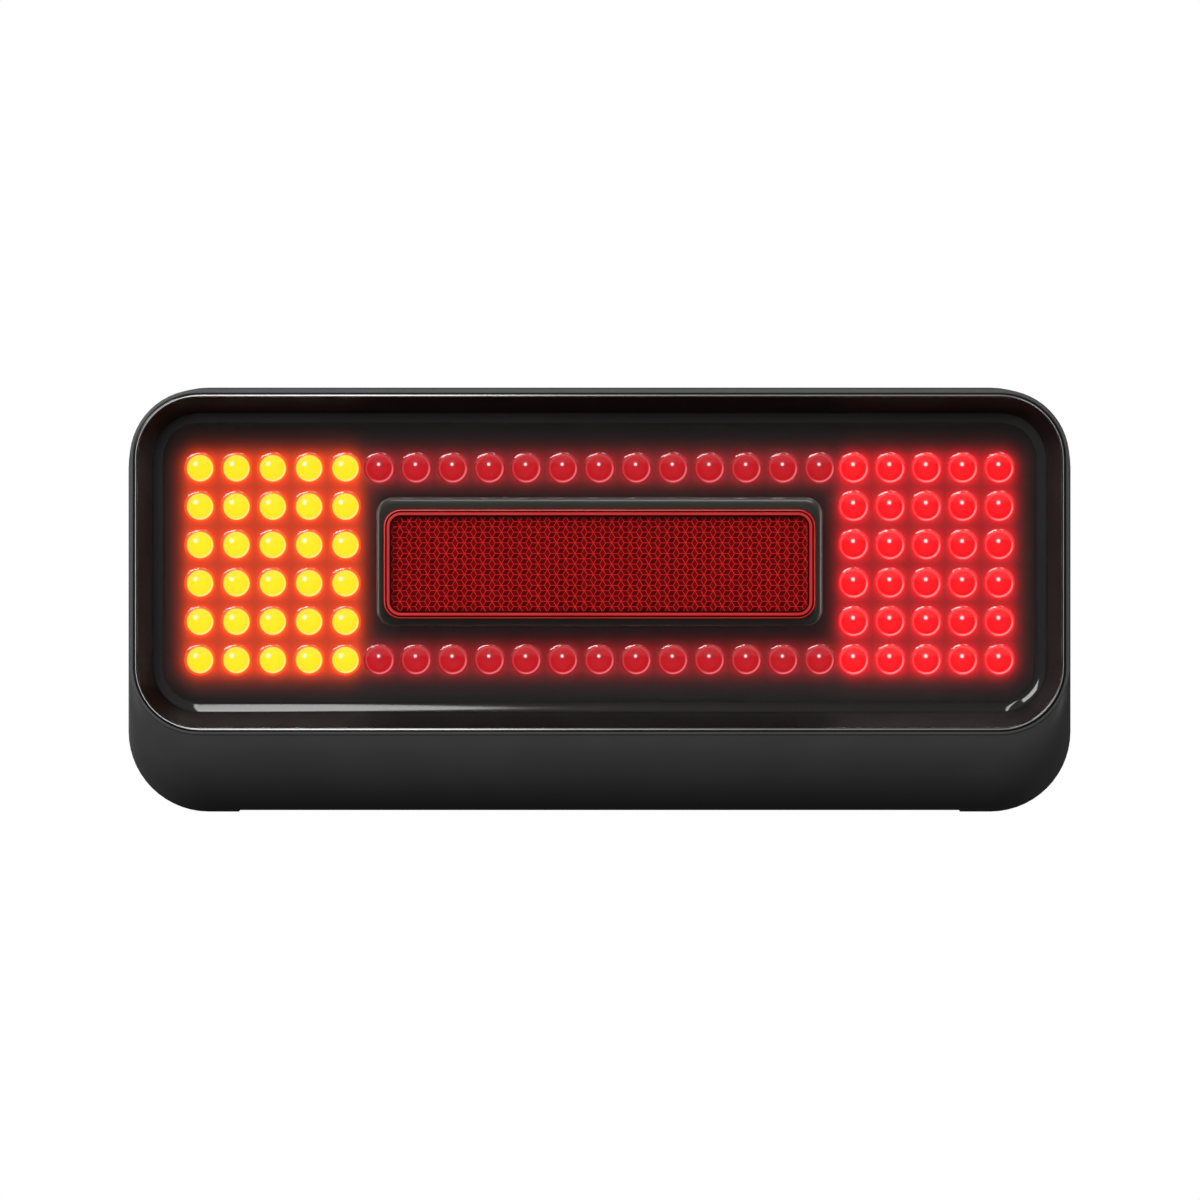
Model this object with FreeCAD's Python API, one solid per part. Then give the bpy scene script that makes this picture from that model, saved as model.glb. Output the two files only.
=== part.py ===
import FreeCAD, Part
import math
import os

# LED combination tail light for a trailer, 200 x 90 mm class.
#
# Frame: the origin is the middle of the mounting face. The light looks along -Y, +Z is up
# and +X is on the right of somebody who looks at the lens. The mounting face is the plane
# y = 0, and "depth" is always a distance in front of it, so y = -depth. Sizes are in mm.

V = FreeCAD.Vector

# Housing
body_width = 200.0
body_height = 90.0
body_depth = 32.0            # mounting face to the crest of the lens
base_corner_radius = 17.0
wall = 2.4
rim_corner_radius = 14.6
rim_inset = 0.6              # draft of the sides and the top, over the housing's depth
rim_chamfer = 0.35
lens_proud = 0.6             # crest of the lens in front of the housing's rim
chin_start = 6.0             # depth where the chin's curve leaves the straight base
chin_height = 16.3           # base edge up to the rim's lower edge
chin_last_angle = 78.0       # how far the chin's curve has turned at the rim
chin_steps = 6
relief_half_length = 76.3    # the underside is relieved between the two feet
relief_height = 0.35

# Outer lens: a dish that drops into the rim, with one dome in front of each LED
lip = 0.8                    # width of the housing's rim in front of the lens flange
lens_gap = 0.15
flange_thickness = 5.0
seat_width = 2.0             # ledge under the flange
seat_thickness = 2.5
crest_width = 0.75
crest_round = 0.3
dish_depth = 6.0             # crest to the flat floor
dish_slope = 0.625           # sideways run of the dish's wall for each mm of depth
dish_fillet = 3.0
lens_floor = 2.2
dome_radius = 3.4
dome_height = 0.9
seal_height = 1.6
seal_width = 1.2

# LED field
cluster_columns = 5
cluster_rows = 6
column_pitch = 7.7
row_pitch = 8.125
field_drop = 0.35            # middle of the LED field below the middle of the dish
tail_columns = 13
tail_pitch = 7.77
led_radius = 2.5
led_flange_width = 0.4
led_flange_height = 1.0
led_height = 8.6
lead_radius = 0.25
lead_spacing = 2.54
lead_length = 3.1
lead_gap = 0.15

# Mask, baffle and circuit board
mask_thickness = 1.4
mask_gap = 0.4               # lens to mask
mask_inset = 1.0             # mask edge inside the lens plug
mask_hole_gap = 0.25
led_to_lens = 0.7
baffle_wall = 0.8
baffle_margin = 1.5          # board edge to the baffle's outer wall
baffle_gap = 0.2             # baffle to the LEDs that it passes
baffle_relief = 0.09         # baffle's dividers clear of those reliefs
board_thickness = 1.6
board_side_margin = 8.9      # outermost LED centres to the board's ends
board_edge_margin = 6.7      # outermost LED centres to the board's long edges
board_corner_radius = 3.0

# Rear plate and what it carries
plate_thickness = 4.0
plate_ledge = 0.4            # step in the housing that the plate stops against
plate_gap = 0.15
gasket_inset = 11.3          # plate edge to the gasket
gasket_radius = 12.0
gasket_width = 4.0
gasket_depth = 2.0
plate_seal_height = 1.6
plate_seal_width = 1.0

# Screws
screw_radius = 1.5
screw_head_radius = 2.8
screw_head_height = 1.9
screw_head_recess = 0.4      # head below the mounting face
screw_length = 8.0
screw_gap = 0.05
screw_boss_radius = 3.4
screw_boss_end = 11.5        # depth of the bosses' front ends
corner_screw_inset = 10.0    # corner screws, in from the base outline
middle_screw_inset = 7.5     # middle screws, in from the base outline
board_screw_radius = 1.25
board_screw_head_radius = 2.4
board_screw_head_height = 1.5
board_screw_length = 6.0
post_radius = 3.1
post_edge = 2.9              # outer board screws, in from the board's ends
post_rise = 20.5             # outer board screws, above and below the field's middle
inner_post_offset = 40.0

# Parts soldered to the back of the board, behind the reflector
resistor_size = (3.2, 1.6, 0.6)
resistor_count = 14
resistor_pitch = 4.4
resistor_rise = 12.0         # the two rows, above and below the field's middle
diode_size = (4.3, 2.6, 2.2)
driver_size = (6.6, 6.1, 2.3)
circuit_pitch = 14.0         # one driver, capacitor and diode for each function
diode_rise = 7.0
driver_rise = 1.0
capacitor_radius = 3.15
capacitor_height = 5.4
capacitor_rise = -5.5
terminal_size = (20.0, 8.0, 6.0)
terminal_x = -24.0
terminal_rise = 5.0

# Mounting studs, M5
stud_spacing = 152.0
stud_radius = 2.5
shoulder_radius = 3.0        # shoulder in the rear plate, flush with the mounting face
thread_radius = 2.24         # the thread is a plain bar of its pitch diameter
stud_length = 20.0
stud_chamfer = 0.6
stud_hole_gap = 0.1
head_across_flats = 8.0
head_height = 3.5
head_gap = 0.1
stud_boss_radius = 7.0
grip = 3.0                   # panel between the mounting face and the washer
washer_radius = 7.5
washer_thickness = 1.2
washer_hole_gap = 0.15
nut_across_flats = 8.0
nut_height = 4.7
nut_gap = 0.06

# Cable grommet and breather, both flush with the mounting face
grommet_x = -30.0
cable_bore = 3.25
grommet_neck = 6.5
grommet_flange = 9.0
grommet_flange_thickness = 1.5
vent_x = 30.0
vent_cap_radius = 7.0
vent_cap_thickness = 1.2
vent_cap_slots = 4
vent_slot_radius = 0.8
vent_slot_circle = 4.2
vent_membrane_radius = 6.0
vent_membrane_thickness = 0.3
vent_bore = 3.0

# Reflex reflector in its holder, on the floor of the dish
reflector_width = 91.3
reflector_height = 22.7
reflector_radius = 3.6
reflector_thickness = 2.2
reflector_round = 0.4
reflector_drop = 0.55        # middle of the reflector below the middle of the dish
holder_side = 1.6            # holder beside and below the reflector
holder_top = 2.7             # holder above the reflector
holder_thickness = 2.8
holder_pocket = 2.2
holder_bevel = 1.2
holder_gap = 0.1
backing_thickness = 0.8
tape_thickness = 0.5
tape_width = 3.0
tape_inset = 1.0

# Places worked out from the sizes above
housing_front = body_depth - lens_proud
flange_back = body_depth - flange_thickness
cavity_front = flange_back - seat_thickness
floor_depth = body_depth - dish_depth
lens_back = floor_depth - lens_floor
mask_front = lens_back - mask_gap
mask_back = mask_front - mask_thickness
board_front = lens_back - led_to_lens - led_height
board_back = board_front - board_thickness
chin_turn = math.radians(chin_last_angle)
chin_rise = chin_height / (1 - math.cos(chin_turn))
chin_run = (housing_front - rim_chamfer - chin_start) / math.sin(chin_turn)
chin_centre = chin_rise - body_height / 2
washer_back = grip + washer_thickness
dish_middle = (chin_height - rim_inset) / 2
field_height = dish_middle - field_drop
reflector_z = dish_middle - reflector_drop
led_flange_radius = led_radius + led_flange_width
cluster_gap = 2 * (led_flange_radius + baffle_gap + baffle_relief) + baffle_wall
tail_half_length = tail_pitch * (tail_columns - 1) / 2
cluster_half_length = column_pitch * (cluster_columns - 1) / 2
cluster_offset = tail_half_length + cluster_gap + cluster_half_length
field_rise = row_pitch * (cluster_rows - 1) / 2
board_half_width = cluster_offset + cluster_half_length + board_side_margin
board_half_height = field_rise + board_edge_margin


def at(x, z, depth):
    """The point that lies this deep in front of the mounting face."""
    return V(x, -depth, z)


def frame(half_width, bottom, top, lower_radius, upper_radius):
    """A rounded rectangle: its size, its place in height and its corner radii."""
    return (half_width, bottom, top, lower_radius, upper_radius)


def inset(shape, amount):
    """The same rounded rectangle with every side moved in."""
    half_width, bottom, top, lower_radius, upper_radius = shape
    return frame(half_width - amount, bottom + amount, top - amount,
                 lower_radius - amount, upper_radius - amount)


def outline(shape, depth):
    """The closed wire of a rounded rectangle at one depth."""
    half_width, bottom, top, lower_radius, upper_radius = shape
    arcs = []
    for quarter, (side, upper) in enumerate(((1, 1), (-1, 1), (-1, 0), (1, 0))):
        radius = upper_radius if upper else lower_radius
        x = side * (half_width - radius)
        z = top - radius if upper else bottom + radius
        angles = [math.radians(90 * quarter + turn) for turn in (0, 45, 90)]
        arcs.append([at(x + radius * math.cos(a), z + radius * math.sin(a), depth) for a in angles])
    edges = []
    for arc, following in zip(arcs, arcs[1:] + arcs[:1]):
        edges.append(Part.Arc(*arc).toShape())
        edges.append(Part.makeLine(arc[2], following[0]))
    return Part.Wire(edges)


def slab(shape, near, far):
    """A plate with a rounded-rectangle outline between two depths."""
    return Part.Face(outline(shape, near)).extrude(V(0, near - far, 0))


def ring(shape, width, near, far):
    """A flat ring whose outer edge is the outline."""
    return slab(shape, near, far).cut(slab(inset(shape, width), near, far))


def rod(x, z, radius, near, far):
    """A round bar along Y between two depths."""
    return Part.makeCylinder(radius, far - near, at(x, z, near), V(0, -1, 0))


def block(x0, x1, z0, z1, near, far):
    """A plain block between two depths."""
    return Part.makeBox(x1 - x0, far - near, z1 - z0, at(x0, z0, far))


def hexagon(x, z, across_flats, near, far):
    """A hexagonal bar along Y, with two flats facing up and down."""
    corner = across_flats / math.sqrt(3)
    angles = [math.radians(60 * side) for side in range(7)]
    points = [at(x + corner * math.cos(a), z + corner * math.sin(a), near) for a in angles]
    return Part.Face(Part.makePolygon(points)).extrude(V(0, near - far, 0))


def turned(points, x, z, depth):
    """A solid turned about a line along Y. The points are (radius, depth) pairs in order, and
    a third value marks the middle of an arc to the next point."""
    edges = []
    places = [V(p[0], -p[1], 0) for p in points]
    index = 0
    while index < len(points):
        following = (index + 1) % len(points)
        if len(points[following]) == 3:
            last = (index + 2) % len(points)
            edges.append(Part.Arc(places[index], places[following], places[last]).toShape())
            index += 2
        else:
            edges.append(Part.makeLine(places[index], places[following]))
            index += 1
    solid = Part.Face(Part.Wire(edges)).revolve(V(0, 0, 0), V(0, 1, 0), 360)
    solid.translate(at(x, z, depth))
    return solid


def group(solids):
    return Part.makeCompound(solids)


def mirrored_places(x, z):
    return [(-x, z), (x, z)]


def cluster_places(centre_x):
    """LED centres of one cluster."""
    places = []
    for row in range(cluster_rows):
        z = field_height + row_pitch * (row - (cluster_rows - 1) / 2)
        for column in range(cluster_columns):
            places.append((centre_x + column_pitch * (column - (cluster_columns - 1) / 2), z))
    return places


def tail_places():
    """LED centres of the two rows above and below the reflector."""
    places = []
    for z in (field_height - field_rise, field_height + field_rise):
        for column in range(tail_columns):
            places.append((tail_pitch * (column - (tail_columns - 1) / 2), z))
    return places


indicator_places = cluster_places(-cluster_offset)
stop_places = cluster_places(cluster_offset)
led_places = indicator_places + tail_places() + stop_places


def body_frame(depth, bottom, lower_radius, drawn_in=0.0):
    """The body's outline at a depth, with the chin's lower edge and corner radius given."""
    draft = rim_inset * depth / housing_front
    upper_radius = base_corner_radius + (rim_corner_radius - base_corner_radius) * depth / housing_front
    return frame(body_width / 2 - draft - drawn_in, bottom, body_height / 2 - draft - drawn_in,
                 lower_radius - drawn_in, upper_radius - drawn_in)


def chin_section(turn, drawn_in=0.0):
    """The body's outline where the chin's curve has turned by an angle, and its depth."""
    depth = chin_start + (chin_run - drawn_in) * math.sin(turn)
    bottom = chin_centre - (chin_rise - drawn_in) * math.cos(turn)
    raised = (1 - math.cos(turn)) / (1 - math.cos(chin_turn))
    radius = base_corner_radius + (rim_corner_radius - base_corner_radius) * raised
    return body_frame(depth, bottom, radius, drawn_in), depth


def body_shell(last_turn, drawn_in=0.0):
    """The solid inside the body's outer surface, or inside a copy of it drawn in."""
    bottom = drawn_in - body_height / 2
    base = outline(body_frame(0, bottom, base_corner_radius, drawn_in), 0)
    sections = [chin_section(last_turn * step / chin_steps, drawn_in) for step in range(chin_steps + 1)]
    wires = [outline(*section) for section in sections]
    straight = Part.makeLoft([base, wires[0]], True, True)
    curved = Part.makeLoft(wires, True, False)
    return straight, curved, sections[-1]


def rim_frame():
    """Outline of the housing's front rim, before its chamfer."""
    return chin_section(chin_turn)[0]


def flange_frame():
    """Outline of the lens flange."""
    return inset(rim_frame(), lip + lens_gap)


def plug_frame():
    """Outline of the part of the lens behind its flange."""
    return inset(flange_frame(), seat_width)


def base_frame():
    """Outline of the body on the mounting face."""
    return body_frame(0, -body_height / 2, base_corner_radius)


def pocket_frame():
    """Outline of the recess that the rear plate fills."""
    return inset(base_frame(), wall - plate_ledge)


def plate_frame():
    return inset(pocket_frame(), plate_gap)


def plate_screw_places():
    """Six screws: one near each corner and one in the middle of each long side."""
    x = body_width / 2 - corner_screw_inset
    z = body_height / 2 - corner_screw_inset
    middle = body_height / 2 - middle_screw_inset
    return [(-x, z), (x, z), (-x, -z), (x, -z), (0, middle), (0, -middle)]


def board_screw_places():
    """Four screws near the board's corners and two behind the reflector."""
    x = board_half_width - post_edge
    return (mirrored_places(x, field_height - post_rise) + mirrored_places(x, field_height + post_rise)
            + mirrored_places(inner_post_offset, field_height))


def build_housing():
    """Bezel housing: a shell open at the back, with the curved chin below the lens."""
    straight, curved, (front, depth) = body_shell(chin_turn)
    rim = Part.makeLoft([outline(front, depth), outline(inset(front, rim_chamfer), housing_front)],
                        True, True)
    shell = straight.fuse([curved, rim])
    inner_turn = math.asin((cavity_front - chin_start) / (chin_run - wall))
    inner_straight, inner_curved, _ = body_shell(inner_turn, wall)
    flange_hole = inset(flange_frame(), -lens_gap)
    plug_hole = inset(plug_frame(), -lens_gap)
    shell = shell.cut([
        inner_straight,
        inner_curved,
        slab(pocket_frame(), 0, plate_thickness),
        slab(plug_hole, cavity_front - wall, flange_back),
        slab(flange_hole, flange_back, body_depth),
        block(-relief_half_length, relief_half_length, -body_height / 2,
              relief_height - body_height / 2, 0, body_depth),
    ])
    bosses = []
    hull = straight.fuse(curved)
    for x, z in plate_screw_places():
        outward = 1 if z > 0 else -1
        boss = rod(x, z, screw_boss_radius, plate_thickness, screw_boss_end)
        reach = block(x - screw_boss_radius, x + screw_boss_radius, min(z, outward * body_height / 2),
                      max(z, outward * body_height / 2), plate_thickness, screw_boss_end)
        bosses.append(boss.fuse(reach).common(hull))
    shell = shell.fuse(bosses)
    holes = [rod(x, z, screw_radius + screw_gap, plate_thickness, screw_boss_end)
             for x, z in plate_screw_places()]
    return shell.cut(holes)


def build_lens():
    """Outer lens: flange and plug, with the dish cut into them and a dome over each LED."""
    body = slab(flange_frame(), flange_back, body_depth)
    crest = [edge for edge in body.Edges if abs(edge.BoundBox.YMax + body_depth) < 0.01
             and abs(edge.BoundBox.YMin + body_depth) < 0.01]
    body = body.makeFillet(crest_round, crest)
    body = body.fuse(slab(plug_frame(), lens_back, flange_back))
    mouth = inset(flange_frame(), crest_width)
    floor = inset(mouth, dish_slope * dish_depth)
    dish = Part.makeLoft([outline(mouth, body_depth), outline(floor, floor_depth)], True, True)
    rounded = [edge for edge in dish.Edges if abs(edge.BoundBox.YMin + floor_depth) < 0.01
               and abs(edge.BoundBox.YMax + floor_depth) < 0.01]
    dish = dish.makeFillet(dish_fillet, rounded)
    body = body.cut(dish)
    middle = (lens_back + flange_back) / 2
    body = body.cut(ring(plug_frame(), seal_width, middle - seal_height / 2, middle + seal_height / 2))
    return body.fuse([dome(x, z) for x, z in led_places])


def dome(x, z):
    """The spherical cap in front of one LED, with its foot sunk into the lens floor."""
    radius = (dome_radius ** 2 + dome_height ** 2) / (2 * dome_height)
    foot = lens_floor / 4
    turn = math.degrees(math.asin((radius - dome_height - foot) / radius))
    centre = at(x, z, floor_depth + dome_height - radius)
    return Part.makeSphere(radius, centre, V(0, -1, 0), turn, 90, 360)


def build_lens_seal():
    """Bead of sealant between the lens plug and the housing."""
    middle = (lens_back + flange_back) / 2
    hole = inset(plug_frame(), -lens_gap)
    return ring(hole, seal_width + lens_gap, middle - seal_height / 2, middle + seal_height / 2)


def build_led(x, z):
    """One 5 mm LED: flange, straight body and round nose."""
    shoulder = board_front + led_height - led_radius
    nose = led_radius * math.sqrt(0.5)
    return turned([
        (0, board_front),
        (led_flange_radius, board_front),
        (led_flange_radius, board_front + led_flange_height),
        (led_radius, board_front + led_flange_height),
        (led_radius, shoulder),
        (nose, shoulder + nose, "arc"),
        (0, shoulder + led_radius),
    ], x, z, 0)


def lead_places():
    return [(x + side * lead_spacing / 2, z) for x, z in led_places for side in (-1, 1)]


def build_mask():
    """Black mask behind the lens, with a hole for each LED."""
    plate = slab(inset(plug_frame(), mask_inset), mask_back, mask_front)
    holes = [rod(x, z, led_radius + mask_hole_gap, mask_back, mask_front) for x, z in led_places]
    return plate.cut(group(holes))


def build_baffle():
    """Open frame between board and mask that keeps the three lights apart."""
    outer = inset(board_frame(), baffle_margin)
    walls = ring(outer, baffle_wall, board_front, mask_back)
    inner = inset(outer, baffle_wall / 2)
    half_width, bottom, top = inner[:3]
    divider_x = tail_half_length + cluster_gap / 2
    shelf = field_rise - row_pitch / 2
    half = baffle_wall / 2
    for x in (-divider_x, divider_x):
        walls = walls.fuse(block(x - half, x + half, bottom, top, board_front, mask_back))
    for z in (field_height - shelf, field_height + shelf):
        walls = walls.fuse(block(-divider_x, divider_x, z - half, z + half, board_front, mask_back))
    reliefs = [rod(x, z, led_flange_radius + baffle_gap, board_front, mask_back) for x, z in led_places]
    head_top = board_front + board_screw_head_height + baffle_gap
    reliefs += [rod(x, z, board_screw_head_radius + baffle_gap, board_front, head_top)
                for x, z in board_screw_places()]
    return walls.removeSplitter().cut(group(reliefs))


def board_frame():
    return frame(board_half_width, field_height - board_half_height, field_height + board_half_height,
                 board_corner_radius, board_corner_radius)


def build_board():
    """Circuit board, drilled for the LED leads and its six screws."""
    board = slab(board_frame(), board_back, board_front)
    holes = [rod(x, z, lead_radius + lead_gap, board_back, board_front) for x, z in lead_places()]
    holes += [rod(x, z, board_screw_radius + lead_gap, board_back, board_front)
              for x, z in board_screw_places()]
    return board.cut(group(holes))


def on_board(size, x, z):
    """A block soldered to the back of the board: size is its length, width and height."""
    length, width, height = size
    return block(x - length / 2, x + length / 2, z - width / 2, z + width / 2,
                 board_back - height, board_back)


def circuit_places(rise):
    """One place for each function: indicator, tail and stop."""
    return [(circuit_pitch * function, field_height + rise) for function in (0, 1, 2)]


def build_resistors():
    return group([on_board(resistor_size, resistor_pitch * (column - (resistor_count - 1) / 2),
                           field_height + rise)
                  for rise in (-resistor_rise, resistor_rise) for column in range(resistor_count)])


def build_diodes():
    return group([on_board(diode_size, x, z) for x, z in circuit_places(diode_rise)])


def build_drivers():
    return group([on_board(driver_size, x, z) for x, z in circuit_places(driver_rise)])


def build_capacitors():
    return group([rod(x, z, capacitor_radius, board_back - capacitor_height, board_back)
                  for x, z in circuit_places(capacitor_rise)])


def build_terminal():
    """Screw terminal for the cable's cores, with a wire entry for each core."""
    level = field_height + terminal_rise
    body = on_board(terminal_size, terminal_x, level)
    cores = 4
    pitch = terminal_size[0] / cores
    middle = board_back - terminal_size[2] / 2
    for core in range(cores):
        x = terminal_x + pitch * (core - (cores - 1) / 2)
        low = level - terminal_size[1] / 2
        entry = Part.makeCylinder(pitch / 4, terminal_size[1] / 2, at(x, low, middle), V(0, 0, 1))
        body = body.cut(entry)
    return body


def screw(x, z, head_back, head_radius, head_thickness, radius, length):
    """A pan-head screw driven forwards, with its head's outer face at head_back."""
    seat = head_back + head_thickness
    solid = rod(x, z, head_radius, head_back, seat).fuse(rod(x, z, radius, seat, seat + length))
    slot = head_thickness / 2
    cross = block(x - head_radius * 0.6, x + head_radius * 0.6, z - radius / 4, z + radius / 4,
                  head_back, head_back + slot)
    upright = block(x - radius / 4, x + radius / 4, z - head_radius * 0.6, z + head_radius * 0.6,
                    head_back, head_back + slot)
    return solid.cut([cross, upright])


def build_plate_screws():
    return group([screw(x, z, screw_head_recess, screw_head_radius, screw_head_height,
                        screw_radius, screw_length) for x, z in plate_screw_places()])


def build_board_screws():
    """Screws driven backwards through the board into the rear plate's posts."""
    screws = []
    for x, z in board_screw_places():
        head = rod(x, z, board_screw_head_radius, board_front, board_front + board_screw_head_height)
        shank = rod(x, z, board_screw_radius, board_front - board_screw_length, board_front)
        screws.append(head.fuse(shank))
    return group(screws)


def build_rear_plate():
    """Plate that closes the housing: it carries the studs, the board's posts, grommet and vent."""
    plate = slab(plate_frame(), 0, plate_thickness)
    studs = mirrored_places(stud_spacing / 2, 0)
    boss_front = plate_thickness + head_height
    plate = plate.fuse([rod(x, z, stud_boss_radius, plate_thickness, boss_front) for x, z in studs])
    plate = plate.fuse([rod(x, z, post_radius, plate_thickness, board_back)
                        for x, z in board_screw_places()])
    cuts = [gasket_ring(), plate_seal_groove()]
    for x, z in studs:
        cuts.append(rod(x, z, shoulder_radius + stud_hole_gap, 0, plate_thickness))
        cuts.append(hexagon(x, z, head_across_flats + 2 * head_gap, plate_thickness, boss_front))
    for x, z in plate_screw_places():
        cuts.append(rod(x, z, screw_radius + plate_gap, 0, plate_thickness))
        cuts.append(rod(x, z, screw_head_radius + plate_gap, 0, screw_head_recess + screw_head_height))
    for x, z in board_screw_places():
        cuts.append(rod(x, z, board_screw_radius + screw_gap,
                        board_front - board_screw_length - board_thickness / 2, board_back))
    cuts.append(rod(grommet_x, 0, grommet_flange, 0, grommet_flange_thickness))
    cuts.append(rod(grommet_x, 0, grommet_neck, 0, plate_thickness))
    cuts.append(rod(vent_x, 0, vent_cap_radius, 0, vent_cap_thickness))
    cuts.append(rod(vent_x, 0, vent_membrane_radius, 0, vent_cap_thickness + vent_membrane_thickness))
    cuts.append(rod(vent_x, 0, vent_bore, 0, plate_thickness))
    return plate.cut(cuts)


def gasket_ring():
    """Foam gasket in the back of the rear plate, drawn pressed flush with the mounting face."""
    half_width, bottom, top = inset(plate_frame(), gasket_inset)[:3]
    shape = frame(half_width, bottom, top, gasket_radius, gasket_radius)
    return ring(shape, gasket_width, 0, gasket_depth)


def plate_seal_groove():
    """Groove round the rear plate's edge."""
    middle = plate_thickness / 2
    return ring(plate_frame(), plate_seal_width, middle - plate_seal_height / 2,
                middle + plate_seal_height / 2)


def build_plate_seal():
    """Rubber ring between the rear plate's edge and the housing."""
    middle = plate_thickness / 2
    return ring(pocket_frame(), plate_seal_width + plate_gap, middle - plate_seal_height / 2,
                middle + plate_seal_height / 2)


def build_grommet():
    """Rubber cable entry: a flush outer flange, a neck through the plate and an inner flange."""
    inner = plate_thickness
    inner_front = inner + grommet_flange_thickness
    neck_flange = (grommet_neck + grommet_flange) / 2
    return turned([
        (cable_bore, 0),
        (grommet_flange, 0),
        (grommet_flange, grommet_flange_thickness),
        (grommet_neck, grommet_flange_thickness),
        (grommet_neck, inner),
        (neck_flange, inner),
        (cable_bore + (neck_flange - cable_bore) / 2, inner_front),
        (cable_bore, inner_front),
    ], grommet_x, 0, 0)


def build_vent_cap():
    """Cap over the breather, with a ring of small holes."""
    cap = rod(vent_x, 0, vent_cap_radius, 0, vent_cap_thickness)
    for slot in range(vent_cap_slots):
        turn = 2 * math.pi * slot / vent_cap_slots
        cap = cap.cut(rod(vent_x + vent_slot_circle * math.cos(turn), vent_slot_circle * math.sin(turn),
                          vent_slot_radius, 0, vent_cap_thickness))
    return cap


def build_vent_membrane():
    return rod(vent_x, 0, vent_membrane_radius, vent_cap_thickness,
               vent_cap_thickness + vent_membrane_thickness)


def build_stud(x):
    """M5 stud: hexagonal head and shoulder in the rear plate, plain shank, then thread."""
    head = hexagon(x, 0, head_across_flats, plate_thickness, plate_thickness + head_height)
    shoulder = rod(x, 0, shoulder_radius, 0, plate_thickness)
    shank = rod(x, 0, stud_radius, -grip, 0)
    thread = rod(x, 0, thread_radius, -stud_length, -grip)
    tip = [edge for edge in thread.Edges if abs(edge.BoundBox.YMin - stud_length) < 0.01]
    return head.fuse([shoulder, shank, thread.makeChamfer(stud_chamfer, tip)])


def build_washer(x):
    return rod(x, 0, washer_radius, -washer_back, -grip).cut(
        rod(x, 0, stud_radius + washer_hole_gap, -washer_back, -grip))


def build_nut(x):
    """M5 hexagon nut, bevelled at both ends."""
    blank = hexagon(x, 0, nut_across_flats, -washer_back - nut_height, -washer_back)
    corner = nut_across_flats / math.sqrt(3)
    bevel = corner - nut_across_flats / 2
    cone = turned([
        (0, 0),
        (nut_across_flats / 2, 0),
        (corner, bevel / 2),
        (corner, nut_height - bevel / 2),
        (nut_across_flats / 2, nut_height),
        (0, nut_height),
    ], x, 0, -washer_back - nut_height)
    bore = rod(x, 0, thread_radius + nut_gap, -washer_back - nut_height, -washer_back)
    return blank.common(cone).cut(bore)


def reflector_frame():
    return frame(reflector_width / 2, reflector_z - reflector_height / 2,
                 reflector_z + reflector_height / 2, reflector_radius, reflector_radius)


def holder_frame():
    """Outline of the reflector's holder, which is wider above the reflector than below it."""
    half_width, bottom, top, radius, _ = inset(reflector_frame(), -holder_side)
    return frame(half_width, bottom, top - holder_side + holder_top, radius, radius)


def build_holder():
    """Black tray, bevelled on its outside, that holds the reflector."""
    back = floor_depth + tape_thickness
    front = back + holder_thickness
    straight = slab(holder_frame(), back, front - holder_bevel)
    bevel = Part.makeLoft([outline(holder_frame(), front - holder_bevel),
                           outline(inset(holder_frame(), holder_bevel / 2), front)], True, True)
    pocket = slab(inset(reflector_frame(), -holder_gap), front - holder_pocket, front)
    return straight.fuse(bevel).cut(pocket)


def pocket_back():
    """Depth of the floor of the holder's pocket."""
    return floor_depth + tape_thickness + holder_thickness - holder_pocket


def build_backing():
    return slab(reflector_frame(), pocket_back(), pocket_back() + backing_thickness)


def build_reflector():
    """Red reflector plate with a rounded front rim."""
    back = pocket_back() + backing_thickness
    front = back + reflector_thickness
    plate = slab(reflector_frame(), back, front)
    rim = [edge for edge in plate.Edges if abs(edge.BoundBox.YMax + front) < 0.01
           and abs(edge.BoundBox.YMin + front) < 0.01]
    return plate.makeFillet(reflector_round, rim)


def build_tape():
    return ring(inset(holder_frame(), tape_inset), tape_width, floor_depth, floor_depth + tape_thickness)


def build_leads():
    return group([rod(x, z, lead_radius, board_front - lead_length, board_front)
                  for x, z in lead_places()])


nodes = {
    "bezel_housing": build_housing,
    "rear_plate": build_rear_plate,
    "plate_seal": build_plate_seal,
    "plate_screws": build_plate_screws,
    "base_gasket": gasket_ring,
    "outer_lens": build_lens,
    "lens_seal": build_lens_seal,
    "led_mask": build_mask,
    "light_baffle": build_baffle,
    "circuit_board": build_board,
    "board_screws": build_board_screws,
    "indicator_leds": lambda: group([build_led(x, z) for x, z in indicator_places]),
    "tail_leds": lambda: group([build_led(x, z) for x, z in tail_places()]),
    "stop_leds": lambda: group([build_led(x, z) for x, z in stop_places]),
    "led_leads": build_leads,
    "resistors": build_resistors,
    "protection_diodes": build_diodes,
    "current_drivers": build_drivers,
    "capacitors": build_capacitors,
    "wire_terminal": build_terminal,
    "cable_grommet": build_grommet,
    "vent_cap": build_vent_cap,
    "vent_membrane": build_vent_membrane,
    "reflector_tape": build_tape,
    "reflector_holder": build_holder,
    "reflector_backing": build_backing,
    "reflex_reflector": build_reflector,
    "stud_left": lambda: build_stud(-stud_spacing / 2),
    "stud_right": lambda: build_stud(stud_spacing / 2),
    "washer_left": lambda: build_washer(-stud_spacing / 2),
    "washer_right": lambda: build_washer(stud_spacing / 2),
    "nut_left": lambda: build_nut(-stud_spacing / 2),
    "nut_right": lambda: build_nut(stud_spacing / 2),
}

os.makedirs("parts", exist_ok=True)
for name, build in nodes.items():
    build().exportStep("parts/" + name + ".step")
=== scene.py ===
import math

import bmesh
import bpy
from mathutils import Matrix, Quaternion, Vector


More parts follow.
